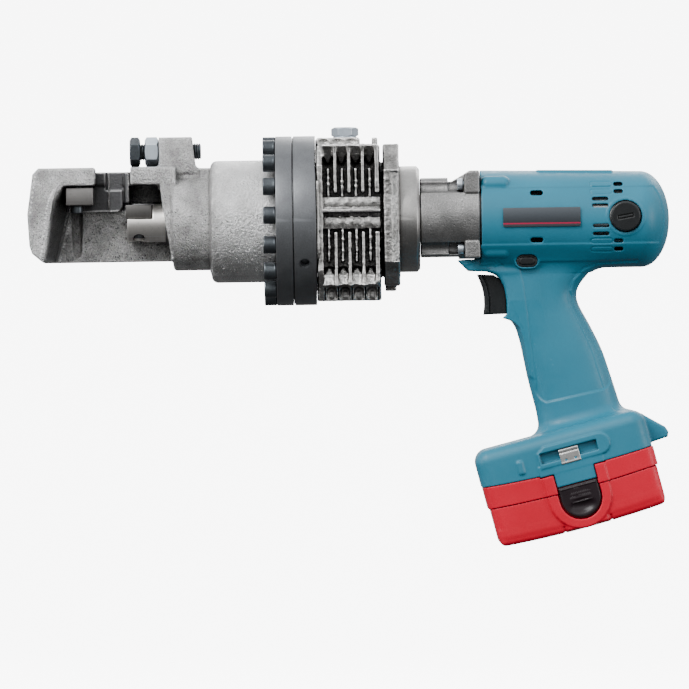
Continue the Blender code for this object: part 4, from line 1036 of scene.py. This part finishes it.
def make_fin_housing():
    dress(surface(fin_field(), "fin_housing_cast"), "tool", "cast_aluminium", "cast_aluminium",
          "fin_housing")
    low, high = span("oil_plug")
    x = middle_of("oil_plug")[0]
    f = Field((x - 11, -11, 46), (x + 11, 11, 66), 0.25)
    f.add(hexagon("Z", 58.1, high.z, (x, 0), 8.3, 0.6, corner_up=False))
    f.add(cylinder("Z", 47, 59.4, (x, 0), 6.2, 0.4))
    f.carve(cylinder("Z", high.z - 0.4, high.z + 2, (x, 0), 5.0), 0.3)
    dress(surface(f, "oil_plug_hex"), "tool", "zinc", "zinc_steel", "oil_plug")
    washer = lathe("oil_plug_washer_turned", [(57.1, 6.8), (57.1, 8.2), (58.3, 8.2),
                                              (58.3, 6.8)], 60, (x, 0), "Z", bevel=0.2)
    dress(washer, "tool", "zinc", "copper", "oil_plug_washer")


def make_tank_cover():
    low, high = span("tank_cover")
    f = Field((low.x - 1, -50, -53), (high.x + 1, 50, 55), 0.5)
    outline = [(-48, -30), (-30, -46.4), (30, -46.4), (48, -30), (48, 34), (28, 52.3),
               (-28, 52.3), (-48, 34)]
    f.add(prism(outline, low.x + 1.6, high.x, 1.2, "X"))
    f.add(cylinder("X", low.x, high.x, (0, 0), 40, 0.5), 1.5)
    f.add(block((203.5, -10, -50), (211, 10, -40), 1.0), 1.0)
    # the long facet along each side's rear edge
    for side in (-1, 1):
        facet = Shape(lambda x, y, z, side=side: -((x - 208.3) * 0.70 + (side * y - 48) * 0.714)
                      + 0 * z, (205, min(side * 36, side * 60), -31),
                      (220, max(side * 36, side * 60), 35))
        limited = Shape(lambda x, y, z, facet=facet: np.maximum(
            facet.distance(x, y, z), np.abs(z - 1.5) - 31), facet.low, facet.high)
        f.carve(limited, 0.8)
    f.carve(cylinder("X", 190, 230, (0, 0), 10.0), 0.4)
    f.d += 0.12 * cast_noise(f.d.shape, 11, 4)
    dress(surface(f, "tank_cover_cast"), "tool", "cast_aluminium", "cast_aluminium", "tank_cover")
    low, high = span("bearing_collar")
    collar = lathe("bearing_collar_turned", [
        (low.x, 10), (low.x, high.z), (high.x - 2, high.z), (high.x, high.z - 2.2),
        (high.x, 17.4), (low.x + 2.3, 17.4), (low.x + 2.3, 10)], 160, bevel=0.5)
    dress(collar, "tool", "collar", "machined_steel", "bearing_collar")


def make_gear_case():
    low, high = span("gear_case")
    f = Field((low.x - 1, -36, -35), (high.x + 3.2, 36, 37), 0.4)
    f.add(cylinder("X", low.x, high.x, (0, 0), 32.9, 1.0))
    f.carve(block((200, -50, 28.4), (255, 50, 60)), 1.2)
    f.carve(block((200, -50, -60), (255, 50, -26.9)), 1.2)
    for side in (-1, 1):
        for z, sign in ((23.2, 1), (-22.0, -1)):
            y = side * 25.6
            f.carve(cylinder("X", 200, 258.6, (y, z), 5.4), 1.0)
            f.carve(block((200, min(y, y + side * 20), z - 4.6),
                          (258.6, max(y, y + side * 20), z + 4.6), 1.0), 0.8)
            f.carve(cylinder("X", 248, 258.6, (side * 22.5, (23.5, -21.3)[sign < 0]), 4.6), 0.3)
            f.add(block((259.0, min(side * 16, side * 29.5), z - 6.4),
                        (high.x, max(side * 16, side * 29.5), z + 9.9 * (sign > 0) + 6.4
                         * (sign < 0)), 1.6), 0.8)
    f.carve(Shape(lambda x, y, z: -((x - 259.5) * -0.5 + (z - 31.0) * 0.866) + 0 * y,
                  (250, -40, 28), (270, 40, 40)), 0.6)
    f.trim(block((low.x, -40, -28.4), (high.x, 40, 33.2)), 0.5)
    f.add(cylinder("X", 266, high.x + 2.2, (0, HOUSING_Z), 31.0, 0.5))
    f.carve(cylinder("X", low.x - 5, 251, (0, 0), 22.2))
    f.carve(cylinder("X", 240, 280, (0, 0), 6.0))
    f.carve(cylinder("X", 256, 280, (0, 0), 9.3))
    f.carve(cylinder("X", 264, 290, (0, 0), 28.6))
    dress(surface(f, "gear_case_cast"), "tool", "gear_case", "cast_aluminium", "gear_case")
    for index in (1, 2, 3, 4):
        node = "gear_case_screw_%d" % index
        low, high = span(node)
        screw = keyed_screw(node + "_turned", (low.x, high.x), 4, (4.0, 2.0), (2.1, 2.4),
                            middle_of(node)[1:], "X", 40, 0.5)
        dress(screw, "tool", "zinc", "black_screw", node)


# ------------------------------------------------------------------ motor housing


# height, front X, rear X and half width down the grip
GRIP = [
    (-14.0, 281.0, 362.0, 17.0), (-34.0, 284.5, 350.4, 17.5), (-41.0, 287.0, 344.4, 17.6),
    (-46.0, 288.4, 340.0, 17.6), (-50.6, 289.4, 337.5, 17.5), (-54.8, 290.0, 336.6, 17.5),
    (-60.5, 290.6, 337.7, 17.4), (-66.0, 291.2, 340.5, 17.4), (-76.0, 293.8, 346.0, 17.7),
    (-88.7, 297.2, 352.2, 18.1), (-96.5, 298.7, 355.4, 18.3), (-115.6, 302.4, 361.4, 18.5),
    (-135.5, 307.4, 367.4, 18.8), (-150.0, 309.6, 368.0, 19.4), (-165.0, 309.8, 366.0, 20.5)]
HOUSING_Z = -1.3
BOW, SEAM_FALL, PARTING = 2.4, 0.018, -16.6
WALL, HALF_GAP, LID_HALF_GAP = 3.2, 0.12, 0.18
DOME_X, DOME_LONG = 382.5, 20.1
VENTS = [
    (366.5, 22.1, 6.6, 2.8), (366.5, 16.9, 6.6, 2.8), (353.8, 11.8, 11.5, 2.5),
    (353.8, 7.2, 11.5, 2.5), (354.2, -6.8, 11.5, 2.5), (354.2, -12.4, 11.5, 2.5),
    (366.3, -17.5, 6.6, 2.8), (366.3, -23.1, 6.6, 2.8), (309.5, 16.6, 9.0, 3.5),
    (309.3, -16.2, 9.0, 3.5)]


def barrel_shape(shrink=0.0, start=270.5):
    """Slightly tapering barrel with an elliptical rear end."""
    def distance(x, y, z):
        run = np.clip(x, 270, 385) - 270
        radius = 34.7 - run * 0.0095 - shrink
        out = np.sqrt(y * y + (z - HOUSING_Z + run * 0.009) ** 2)
        past = np.maximum(x - DOME_X, 0)
        long = DOME_LONG - shrink
        q = np.sqrt((past / long) ** 2 + (out / radius) ** 2)
        slope = np.sqrt((past / long ** 2) ** 2 + (out / radius ** 2) ** 2)
        shell = (q - 1) * q / np.maximum(slope, 1e-3)
        return np.maximum(shell, start - x)
    return Shape(distance, [start, -36, -37], [404, 36, 35])


def grip_shape(shrink=0.0):
    columns = [np.array(column)[::-1] for column in zip(*GRIP)]
    heights = np.linspace(columns[0][0], columns[0][-1], 400)
    window = np.hanning(31)[1:-1] / np.hanning(31).sum()
    fronts, rears, halves = [
        np.convolve(np.pad(np.interp(heights, columns[0], column), 14, "reflect",
                           reflect_type="odd"), window, "valid") for column in columns[1:]]

    def distance(x, y, z):
        front = np.interp(z, heights, fronts)
        rear = np.interp(z, heights, rears)
        half = np.interp(z, heights, halves) - shrink
        middle, reach = (front + rear) / 2, (rear - front) / 2 - shrink
        u, v = np.abs(x - middle) / reach, np.abs(y) / half
        power = 2.5
        q = (u ** power + v ** power) ** (1 / power)
        wide = np.where(u > v, reach, half)
        return np.maximum((q - 1) * wide * 0.9,
                          np.maximum(z - heights[-1], heights[0] - z))
    return Shape(distance, [278, -22, heights[0]], [370, 22, heights[-1]])


def capsule_slot(x, z, long, high, start, end):
    """A slot with round ends, through the side."""
    r = high / 2 - 0.02
    return prism(arc((x - long / 2 + r, z), r, 90, 270, 6)
                 + arc((x + long / 2 - r, z), r, -90, 90, 6), start, end)


def housing_field():
    """The left half of the motor housing, grip and foot; Y runs from -44 to 0."""
    f = Field((249, -45, -206), (404, 1.2, 36), 0.5)
    f.add(barrel_shape())
    f.add(grip_shape(), 9.0)
    # foot over the battery, its top falling away from the grip
    f.add(tilted(block((-0.2, -41.8, -12.0), (121.6, 41.8, 24.6), 9.5)), 9.0)
    f.add(tilted(prism([(108, 20), (121, 20.0), (134.6, 7.0), (136.0, 3.0), (134.6, -0.4),
                        (108, -2.2)], -13, 13, 1.6)), 2.0)
    f.carve(tilted(Shape(lambda x, y, z: z + 0.7 + x * SEAM_FALL + 0 * y,
                         (-20, -60, -60), (160, 60, 0)), BOW))
    # flush panel on the side between two creases, and the front screw bosses
    side = prism([(262, -19.0), (262, 20.4), (410, 20.4), (410, -19.0)], -60, -20, 0)
    f.emboss(side, -0.55, 1.6)
    for z in (23.4, -22.8):
        f.add(cylinder("X", 270.5, 291, (-21.2, z), 5.6, 4.5), 0.9)
    # finger guard in front of the trigger
    f.add(prism([(253.9, -29.3), (261.4, -37.0), (284, -37.9), (300, -37.9), (300, -22),
                 (272, -20), (270.8, -27.6)], -16, 16, 1.3), 2.2)
    f.emboss(prism([(258.5, -32.0), (268, -30.4), (268, -31.1), (259.5, -32.8)], -30, 0), 0.4)
    f.carve(block((240, -60, -27.4), (270.5, 60, 60)))
    # sides of the trigger's opening, narrower towards the foot
    wide = 16.2
    front = prism([(277.5, -37), (281.0, -40.0), (283.6, -43.2), (285.4, -46.8), (286.6, -50.0),
                   (287.8, -58), (288.0, -67.4), (285.0, -70.2), (291.4, -72.2), (297.0, -77),
                   (299.4, -84), (301.4, -94), (304.4, -110), (316, -110), (312, -37)],
                  -wide, wide, 2.6)
    f.add(Shape(lambda x, y, z: np.maximum(
        front.distance(x, y, z), np.abs(y) - wide - np.minimum(z + 58, 0) * 0.115),
        front.low, front.high), 4.5)
    # flat along the top, and the arrow on the finger guard
    f.add(prism([(310.5, 28), (310.5, 33.0), (363, 32.2), (363, 28)], -9, 9, 0.5), 0.8)
    f.emboss(prism([(270, -32.0), (279.5, -31.2), (279.5, -29.9), (285.0, -32.6),
                    (279.5, -34.6), (279.5, -33.2), (270, -33.0)], -30, 0), 0.4)
    panel = [(297.0, -35.3), (299.7, -47.3), (302.2, -68.3), (304.2, -87.9), (306.2, -103),
             (307.8, -116)] \
        + arc((317.4, -119.8), 10.0, 190, 255, 5) + [(352.0, -121.6)] \
        + arc((352.6, -114.6), 6.6, 290, 360, 4) + [(357.6, -104), (350.6, -91), (343.4, -76),
                                                   (334.6, -60), (332.4, -52), (335, -44),
                                                   (342, -37), (352, -33.4), (380, -32.2),
                                                   (380, -30.6), (350, -31.4), (300, -31.4)]
    f.emboss(prism(panel, -40, -8), -0.75, 1.5)
    # strap slot on a raised pad, a small rib, and the tongue over the latch
    pad = tilted(prism(arc((86.4, 8.2), 7.6, -90, 90, 8) + [(48, 15.8), (42.6, 12), (42.6, 0.6)],
                       -42.9, -30, 0.9))
    f.add(pad, 1.0)
    f.carve(tilted(block((44.0, -60, 4.2), (84.8, -38.6, 11.6), 0.5)), 0.6)
    f.add(tilted(block((26.5, -43.0, 0.4), (32.0, -36, 11.2), 2.2)), 0.8)
    for low, high in (((40.8, -42.3, -4.6), (86.8, -39.6, 3.0)),
                      ((50.3, -42.3, -14.2), (78.7, -39.6, 3.0))):
        f.add(tilted(block(low, high, 0.6)), 0.5)
    # openings: lock button, brush cap, vents with shallow outlines beside them
    x, _, z = middle_of("lock_button")
    f.add(capsule_slot(x, z, 17.2, 11.2, -21.0, -10), 1.6)
    f.carve(capsule_slot(x, z, 14.9, 8.9, -60, 5), 0.2)
    f.carve(cylinder("Y", -60, -20, BRUSH_CAP, 11.1), 0.6)
    f.emboss(Shape(lambda x, y, z: np.abs(np.sqrt(
        (x - BRUSH_CAP[0]) ** 2 + (z - BRUSH_CAP[1]) ** 2) - 13.0) - 0.9 + 0 * y,
        (356, -40, -16), (387, -20, 15)), 0.3, 0.8)
    for x, z, long, high in VENTS:
        f.carve(capsule_slot(x, z, long, high, -60, -15), 0.5)
        if x > 366:
            for shrink, height in ((0.0, -0.5), (0.6, 0.5)):
                f.emboss(capsule_slot(354.6, z, 16.0 - 2 * shrink, 4.0 - 2 * shrink, -60, -15),
                         height, 0.7)
    return f


def hollow(f):
    """Clear the inside of the shell."""
    f.carve(barrel_shape(WALL, 240))
    f.carve(grip_shape(WALL))
    f.carve(tilted(block((3.5, -38.2, -40), (116, 38.2, 17.5), 5.0)))
    f.carve(block((255, -7.4, -69.0), (300, 7.4, -38.3), 0.6), 0.3)
    return f


def make_housing():
    f = hollow(housing_field())
    right = f.copy().trim(half_space("Y", -HALF_GAP, -1))
    twin = surface(right, "right_source")
    dress(mirrored(twin, "housing_right_shell"), "tool", "teal", "teal_plastic", "housing_right")
    bpy.data.objects.remove(twin, do_unlink=True)
    low, high = span("name_plate")
    f.carve(block((low.x - 0.5, -60, low.z - 0.5), (high.x + 0.5, -33.9, high.z + 0.5), 0.3), 0.3)
    f.trim(half_space("Y", -HALF_GAP, -1))
    dress(surface(f, "housing_left_shell"), "tool", "teal", "teal_plastic", "housing_left")
    label = bevelled_box("name_plate_film", low, high, 0.25)
    dress(label, "tool", "label", "grey_label", "name_plate")


def make_motor_can():
    can = [(284, 20.5), (346, 20.5), (346, 26.8), (379.5, 26.8), (379.5, 10.5), (381.5, 10.5),
           (381.5, 28.2), (344, 28.2), (344, 25.5), (284, 25.5)]
    dress(lathe("motor_can_turned", can, 96, bevel=0.6), "tool", "satin_steel", "dark_steel",
          "motor_can")


def cap_bar(centre, half_long, half_high, past):
    """A bar across a brush cap's face, turned a little, that ends where past(y) is zero."""
    x, y, z = centre
    c, s = math.cos(math.radians(10)), math.sin(math.radians(10))

    def distance(px, py, pz):
        u = (px - x) * c + (pz - z) * s
        v = -(px - x) * s + (pz - z) * c
        return np.maximum(np.maximum(np.abs(u) - half_long, np.abs(v) - half_high), past(py))
    return Shape(distance, (x - 7, y - 2, z - 4), (x + 7, y + 2, z + 4))


def make_controls():
    low, high = span("trigger")
    f = Field((low.x - 2, -10, low.z - 2), (high.x + 2, 10, high.z + 2), 0.3)
    side = [(267.6, -39.6), (272.0, -39.6), (279.0, -39.8), (284.0, -43.0), (287.0, -49.5),
            (287.9, -57.0), (287.8, -67.4), (271.7, -67.7), (272.4, -61), (272.2, -54.5),
            (271.2, -49.0), (269.3, -43.6)]
    f.add(prism(side, -6.5, 6.5, 1.0))
    face = [(267.6, -39.6), (271.0, -39.6), (273.6, -44.5), (275.3, -50.0), (276.2, -56.0),
            (276.0, -67.4), (271.7, -67.7), (272.4, -61), (272.2, -54.5), (271.2, -49.0),
            (269.3, -43.6)]
    f.add(prism(face, -8.2, 8.2, 1.6), 0.5)
    f.emboss(prism([(272.4, -41), (275.0, -47), (276.6, -56), (276.4, -67), (275.6, -67),
                    (275.8, -56), (274.2, -47.4), (271.6, -41.4)], -12, 12), -0.3, 0.7)
    dress(surface(f, "trigger_moulded"), "trigger", "black", "black_plastic", "trigger")

    low, high = span("lock_button")
    x, _, z = middle_of("lock_button")
    f = Field((x - 9, low.y - 2, z - 6), (x + 9, high.y + 2, z + 6), 0.3)
    f.add(capsule_slot(x, z, 14.4, 8.4, low.y + 1.0, high.y - 1.0), 0.0)
    f.add(capsule_slot(x, z, 15.8, 9.5, -4, 4))
    f.add(Shape(lambda px, y, pz: rounded_join(
        capsule_slot(x, z, 11.0, 5.2, low.y - 50, high.y + 50).distance(px, 0 * y, pz),
        slab(y, low.y, high.y), 0.9),
        (x - 8, low.y, z - 5), (x + 8, high.y, z + 5)), 0.5)
    dress(surface(f, "lock_button_moulded"), "lock", "black", "black_plastic", "lock_button")

    for side, word in ((-1, "left"), (1, "right")):
        low, high = span("brush_cap_" + word)
        x, _, z = middle_of("brush_cap_" + word)
        face = low.y if side < 0 else -high.y
        f = Field((x - 12, face - 1, z - 12), (x + 12, -22, z + 12), 0.3)
        f.add(cylinder("Y", face, -30, (x, z), 10.4, 1.2))
        f.add(cylinder("Y", -34, -24, (x, z), 6.0, 0.4))
        f.carve(cap_bar((x, face, z), 5.6, 1.5, lambda y: y - face - 1.1), 0.3)
        f.add(cap_bar((x, face, z), 5.0, 0.75, lambda y: face + 0.5 - y), 0.2)
        piece = surface(f, "cap_source")
        if side > 0:
            twin = mirrored(piece, "brush_cap_right_moulded")
            bpy.data.objects.remove(piece, do_unlink=True)
            piece = twin
        else:
            piece.name = "brush_cap_left_moulded"
        dress(piece, "tool", "black", "black_plastic", "brush_cap_" + word)

    f = Field((318, -45, -180), (342, -37, -158), 0.25)
    f.add(tilted(block((57.4, -43.0, 0.8), (71.4, -42.1, 10.4), 0.4)))
    for z in (1.2, 10.2):
        f.add(tilted(cylinder("X", 57.4, 71.4, (-42.2, z), 0.9, 0.3)), 0.3)
    f.carve(tilted(block((57.0, -50, 8.0), (72, -42.75, 8.7))), 0.2)
    for s in (60.4, 67.2):
        f.carve(tilted(block((s, -50, 2.4), (s + 1.6, -30, 3.6), 0.3)), 0.2)
    dress(surface(f, "strap_clip_bent"), "tool", "satin_steel", "machined_steel", "strap_clip")


# ------------------------------------------------------------------ battery


RIM = (41.6, 86.4)


def battery_field():
    f = Field((262, -46, -236), (403, 0.6, -138), 0.5)
    f.add(tilted(block((0.2, -42.0, -43.97), (122.3, 42.0, 12), 7.5), BOW))
    f.add(tilted(block((2.0, -41.4, -44.1), (121.0, 41.4, -30), 3.5), BOW), 1.0)
    f.carve(tilted(Shape(lambda x, y, z: -(z + 1.05 + x * SEAM_FALL) + 0 * y,
                         (-20, -60, -5), (150, 60, 60)), BOW))
    for start, end in ((-20, 1.1), (121.5, 150)):
        f.carve(tilted(block((start, -60, -60), (end, 60, PARTING)), BOW), 0.4)
    # rim round the latch, with its round lower end
    outer = [(RIM[0], -3.5), (RIM[0], -24)] + arc((64.0, -24.0), 22.4, 180, 360, 14) \
        + [(RIM[1], -3.5)]
    f.add(tilted(prism(outer, -43.4, -30, 1.2)), 1.2)
    f.add(tilted(block((49.5, -42.6, -45.4), (79.5, 0, -36), 1.5)), 1.2)
    inner = [(49.6, 5), (49.6, -25)] + arc((64.2, -25.0), 14.6, 180, 360, 12) + [(78.8, 5)]
    f.carve(tilted(prism(inner, -60, -38.0)), 0.8)
    f.carve(tilted(block((40.2, -60, -5.2), (87.4, -38.9, 10))), 0.3)
    f.carve(tilted(block((49.8, -60, -15.2), (79.2, -38.9, 10))), 0.3)
    # step between the case's two bands
    f.emboss(tilted(block((-5, -50, -60), (140, 50, PARTING)), BOW), -0.4, 0.5)
    for x in (47.0, 80.6):
        f.emboss(tilted(block((x, -50, -50), (x + 1.4, 0, -41.5))), -0.8, 0.8)
    f.carve(tilted(block((3.0, -37.0, -41.5), (119.5, 37.0, -8.0), 3.0)))
    return f


def with_twin(field):
    """Fill the +Y half of a field that is modelled for Y below zero."""
    whole = Field.__new__(Field)
    below = field.axes[1] < -1e-4
    half = field.d[:, below, :]
    y = field.axes[1][below]
    whole.step, whole.low = field.step, field.low
    gap = field.step
    count = int(round((-y[-1]) * 2 / gap)) - 1
    filler = np.repeat(half[:, -1:, :], max(count, 0), 1)
    whole.d = np.concatenate([half, filler, half[:, ::-1, :]], 1)
    length = whole.d.shape[1]
    whole.axes = [field.axes[0], y[0] + gap * np.arange(length, dtype=np.float32), field.axes[2]]
    return whole


def make_battery():
    f = with_twin(battery_field())
    case = f.copy()
    case.trim(tilted(half_space("Z", PARTING - LID_HALF_GAP, -1), BOW))
    dress(surface(case, "battery_case_moulded"), "battery", "red", "red_plastic", "battery_case")
    f.trim(tilted(half_space("Z", PARTING + LID_HALF_GAP, 1), BOW))
    dress(surface(f, "battery_lid_moulded"), "battery", "red", "red_plastic", "battery_lid")
    stem = Field((300, -12, -190), (375, 12, -120), 0.8)
    stem.add(tilted(block((62, -10.5, -8), (96, 10.5, 46), 2.5)))
    dress(surface(stem, "battery_stem"), "battery", "red", "red_plastic")

    f = Field((314, -45, -228), (354, -35, -180), 0.3)
    shape = [(50.6, -14.9), (50.6, -25)] + arc((64.4, -24.6), 13.8, 180, 360, 14) \
        + [(78.2, -14.9)]
    f.add(tilted(prism(shape, -42.6, -36.6, 0.8)))
    f.emboss(tilted(block((52.0, -50, -17.0), (77.0, -40, -16.2))), 0.35, 0.6)
    f.carve(tilted(ball((64.4, -46.4, -30.5), (11.0, 6.0, 6.5))), 1.0)
    for t in (-21.6, -24.4, -27.2):
        f.add(tilted(block((57.5, -42.5, t - 0.45), (72.0, -40.6, t + 0.45), 0.4)), 0.6)
    piece = surface(f, "latch_left_moulded")
    dress(mirrored(piece, "latch_right_moulded"), "latch_right", "latch", "black_plastic",
          "latch_button_right")
    dress(piece, "latch_left", "latch", "black_plastic", "latch_button_left")


# ------------------------------------------------------------------ stage, lights and camera


FLOOR_DROP, FLOOR_GLOW = 0.16, 7.0
SKY = ((0.0, 0.10), (0.36, 0.16), (0.50, 0.42), (0.62, 1.15), (1.0, 1.6))   # height, grey
CAMERA_DISTANCE, VIEW_WIDTH, CAMERA_ROLL = 7.0, 0.4823, math.radians(0.86)
VIEW_CENTRE = (-0.0042, -0.0050)                        # X, Z


def make_stage():
    """A pale floor that curves up into a far round wall.

    It lies low enough for the battery to slide out over it, and shows only to the camera.
    """
    floor_z = cad_low.z - FLOOR_DROP
    inner, rise, top = 12.0, 3.0, 10.0
    profile = [(0.0, floor_z), (inner, floor_z)]
    profile += [(inner + rise * math.sin(a), floor_z + rise * (1 - math.cos(a)))
                for a in [math.pi / 2 * i / 12 for i in range(1, 13)]]
    profile.append((inner + rise, floor_z + top))
    sides = 96
    vertices, faces = [(0, 0, floor_z)], []
    for out, height in profile[1:]:
        vertices += [(out * math.cos(2 * math.pi * i / sides),
                      out * math.sin(2 * math.pi * i / sides), height) for i in range(sides)]
    for i in range(sides):
        j = (i + 1) % sides
        faces.append((0, 1 + i, 1 + j))
        for ring in range(len(profile) - 2):
            a = 1 + ring * sides
            faces.append((a + i, a + sides + i, a + sides + j, a + j))
    mesh = bpy.data.meshes.new("stage_floor")
    mesh.from_pydata(vertices, [], faces)
    mesh.shade_smooth()
    floor = placed("stage_floor", mesh)
    material = bpy.data.materials.new("stage_pale")
    material.use_nodes = True
    shader = material.node_tree.nodes["Principled BSDF"]
    for key, value in (("Base Color", (0.9, 0.9, 0.9, 1)), ("Roughness", 0.9),
                       ("Emission Color", (1, 1, 1, 1)), ("Emission Strength", FLOOR_GLOW)):
        shader.inputs[key].default_value = value
    mesh.materials.append(material)
    floor.visible_diffuse = False
    floor.visible_glossy = False


def area_light(name, place, target, size, power):
    """A rectangular lamp at a place, turned to its target."""
    light = bpy.data.lights.new(name, "AREA")
    light.shape = "RECTANGLE"
    light.size, light.size_y = size
    light.energy = power
    obj = placed(name, light)
    obj.location = place
    direction = Vector(target) - Vector(place)
    obj.rotation_euler = direction.to_track_quat("-Z", "Y").to_euler()


def make_lights():
    """A sky that fades from a bright top to a dark floor, and five soft lamps."""
    world = bpy.data.worlds.new("studio")
    world.use_nodes = True
    tree = world.node_tree
    place = tree.nodes.new("ShaderNodeTexCoord").outputs["Generated"]
    height = tree.nodes.new("ShaderNodeSeparateXYZ")
    tree.links.new(place, height.inputs[0])
    share = tree.nodes.new("ShaderNodeMapRange")
    share.inputs["From Min"].default_value = -1.0
    tree.links.new(height.outputs["Z"], share.inputs["Value"])
    ramp = tree.nodes.new("ShaderNodeValToRGB")
    tree.links.new(share.outputs["Result"], ramp.inputs["Fac"])
    elements = ramp.color_ramp.elements
    while len(elements) < len(SKY):
        elements.new(0.5)
    for element, (position, grey) in zip(elements, SKY):
        element.position = position
        element.color = (grey * 0.97, grey * 0.985, grey, 1)
    background = tree.nodes["Background"]
    tree.links.new(ramp.outputs["Color"], background.inputs["Color"])
    background.inputs["Strength"].default_value = 1.0
    bpy.context.scene.world = world
    for lamp in (("key", (-1.1, -1.4, 1.5), (0, 0, 0), (1.2, 1.0), 58),
                 ("front", (0.3, -2.2, 0.8), (0, 0, 0.02), (2.2, 0.8), 5),
                 ("left", (-2.2, -0.7, 0.3), (0, 0, 0), (1.2, 1.2), 14),
                 ("right", (2.2, -0.9, 0.3), (0, 0, 0), (1.2, 1.2), 20),
                 ("back", (0.6, 1.8, 1.2), (0, 0, 0), (1.8, 1.0), 26)):
        area_light(*lamp)


def make_camera():
    """A far camera square on to the tool's left side, as in the photo."""
    camera = bpy.data.cameras.new("camera")
    camera.sensor_width = 36
    camera.lens = camera.sensor_width * CAMERA_DISTANCE / VIEW_WIDTH
    camera.clip_start, camera.clip_end = 0.1, 50
    obj = placed("camera", camera)
    obj.matrix_world = (Matrix.Translation((VIEW_CENTRE[0], -CAMERA_DISTANCE, VIEW_CENTRE[1]))
                        @ Matrix.Rotation(math.pi / 2, 4, "X")
                        @ Matrix.Rotation(-CAMERA_ROLL, 4, "Z"))
    bpy.context.scene.camera = obj


for step in (dress_cad_nodes, make_camera, make_stage, make_lights, make_head, make_cutters,
             make_rod, make_stopper, make_flange, make_flange_screws, make_fin_housing,
             make_tank_cover, make_gear_case, make_housing, make_motor_can, make_controls,
             make_battery):
    step()
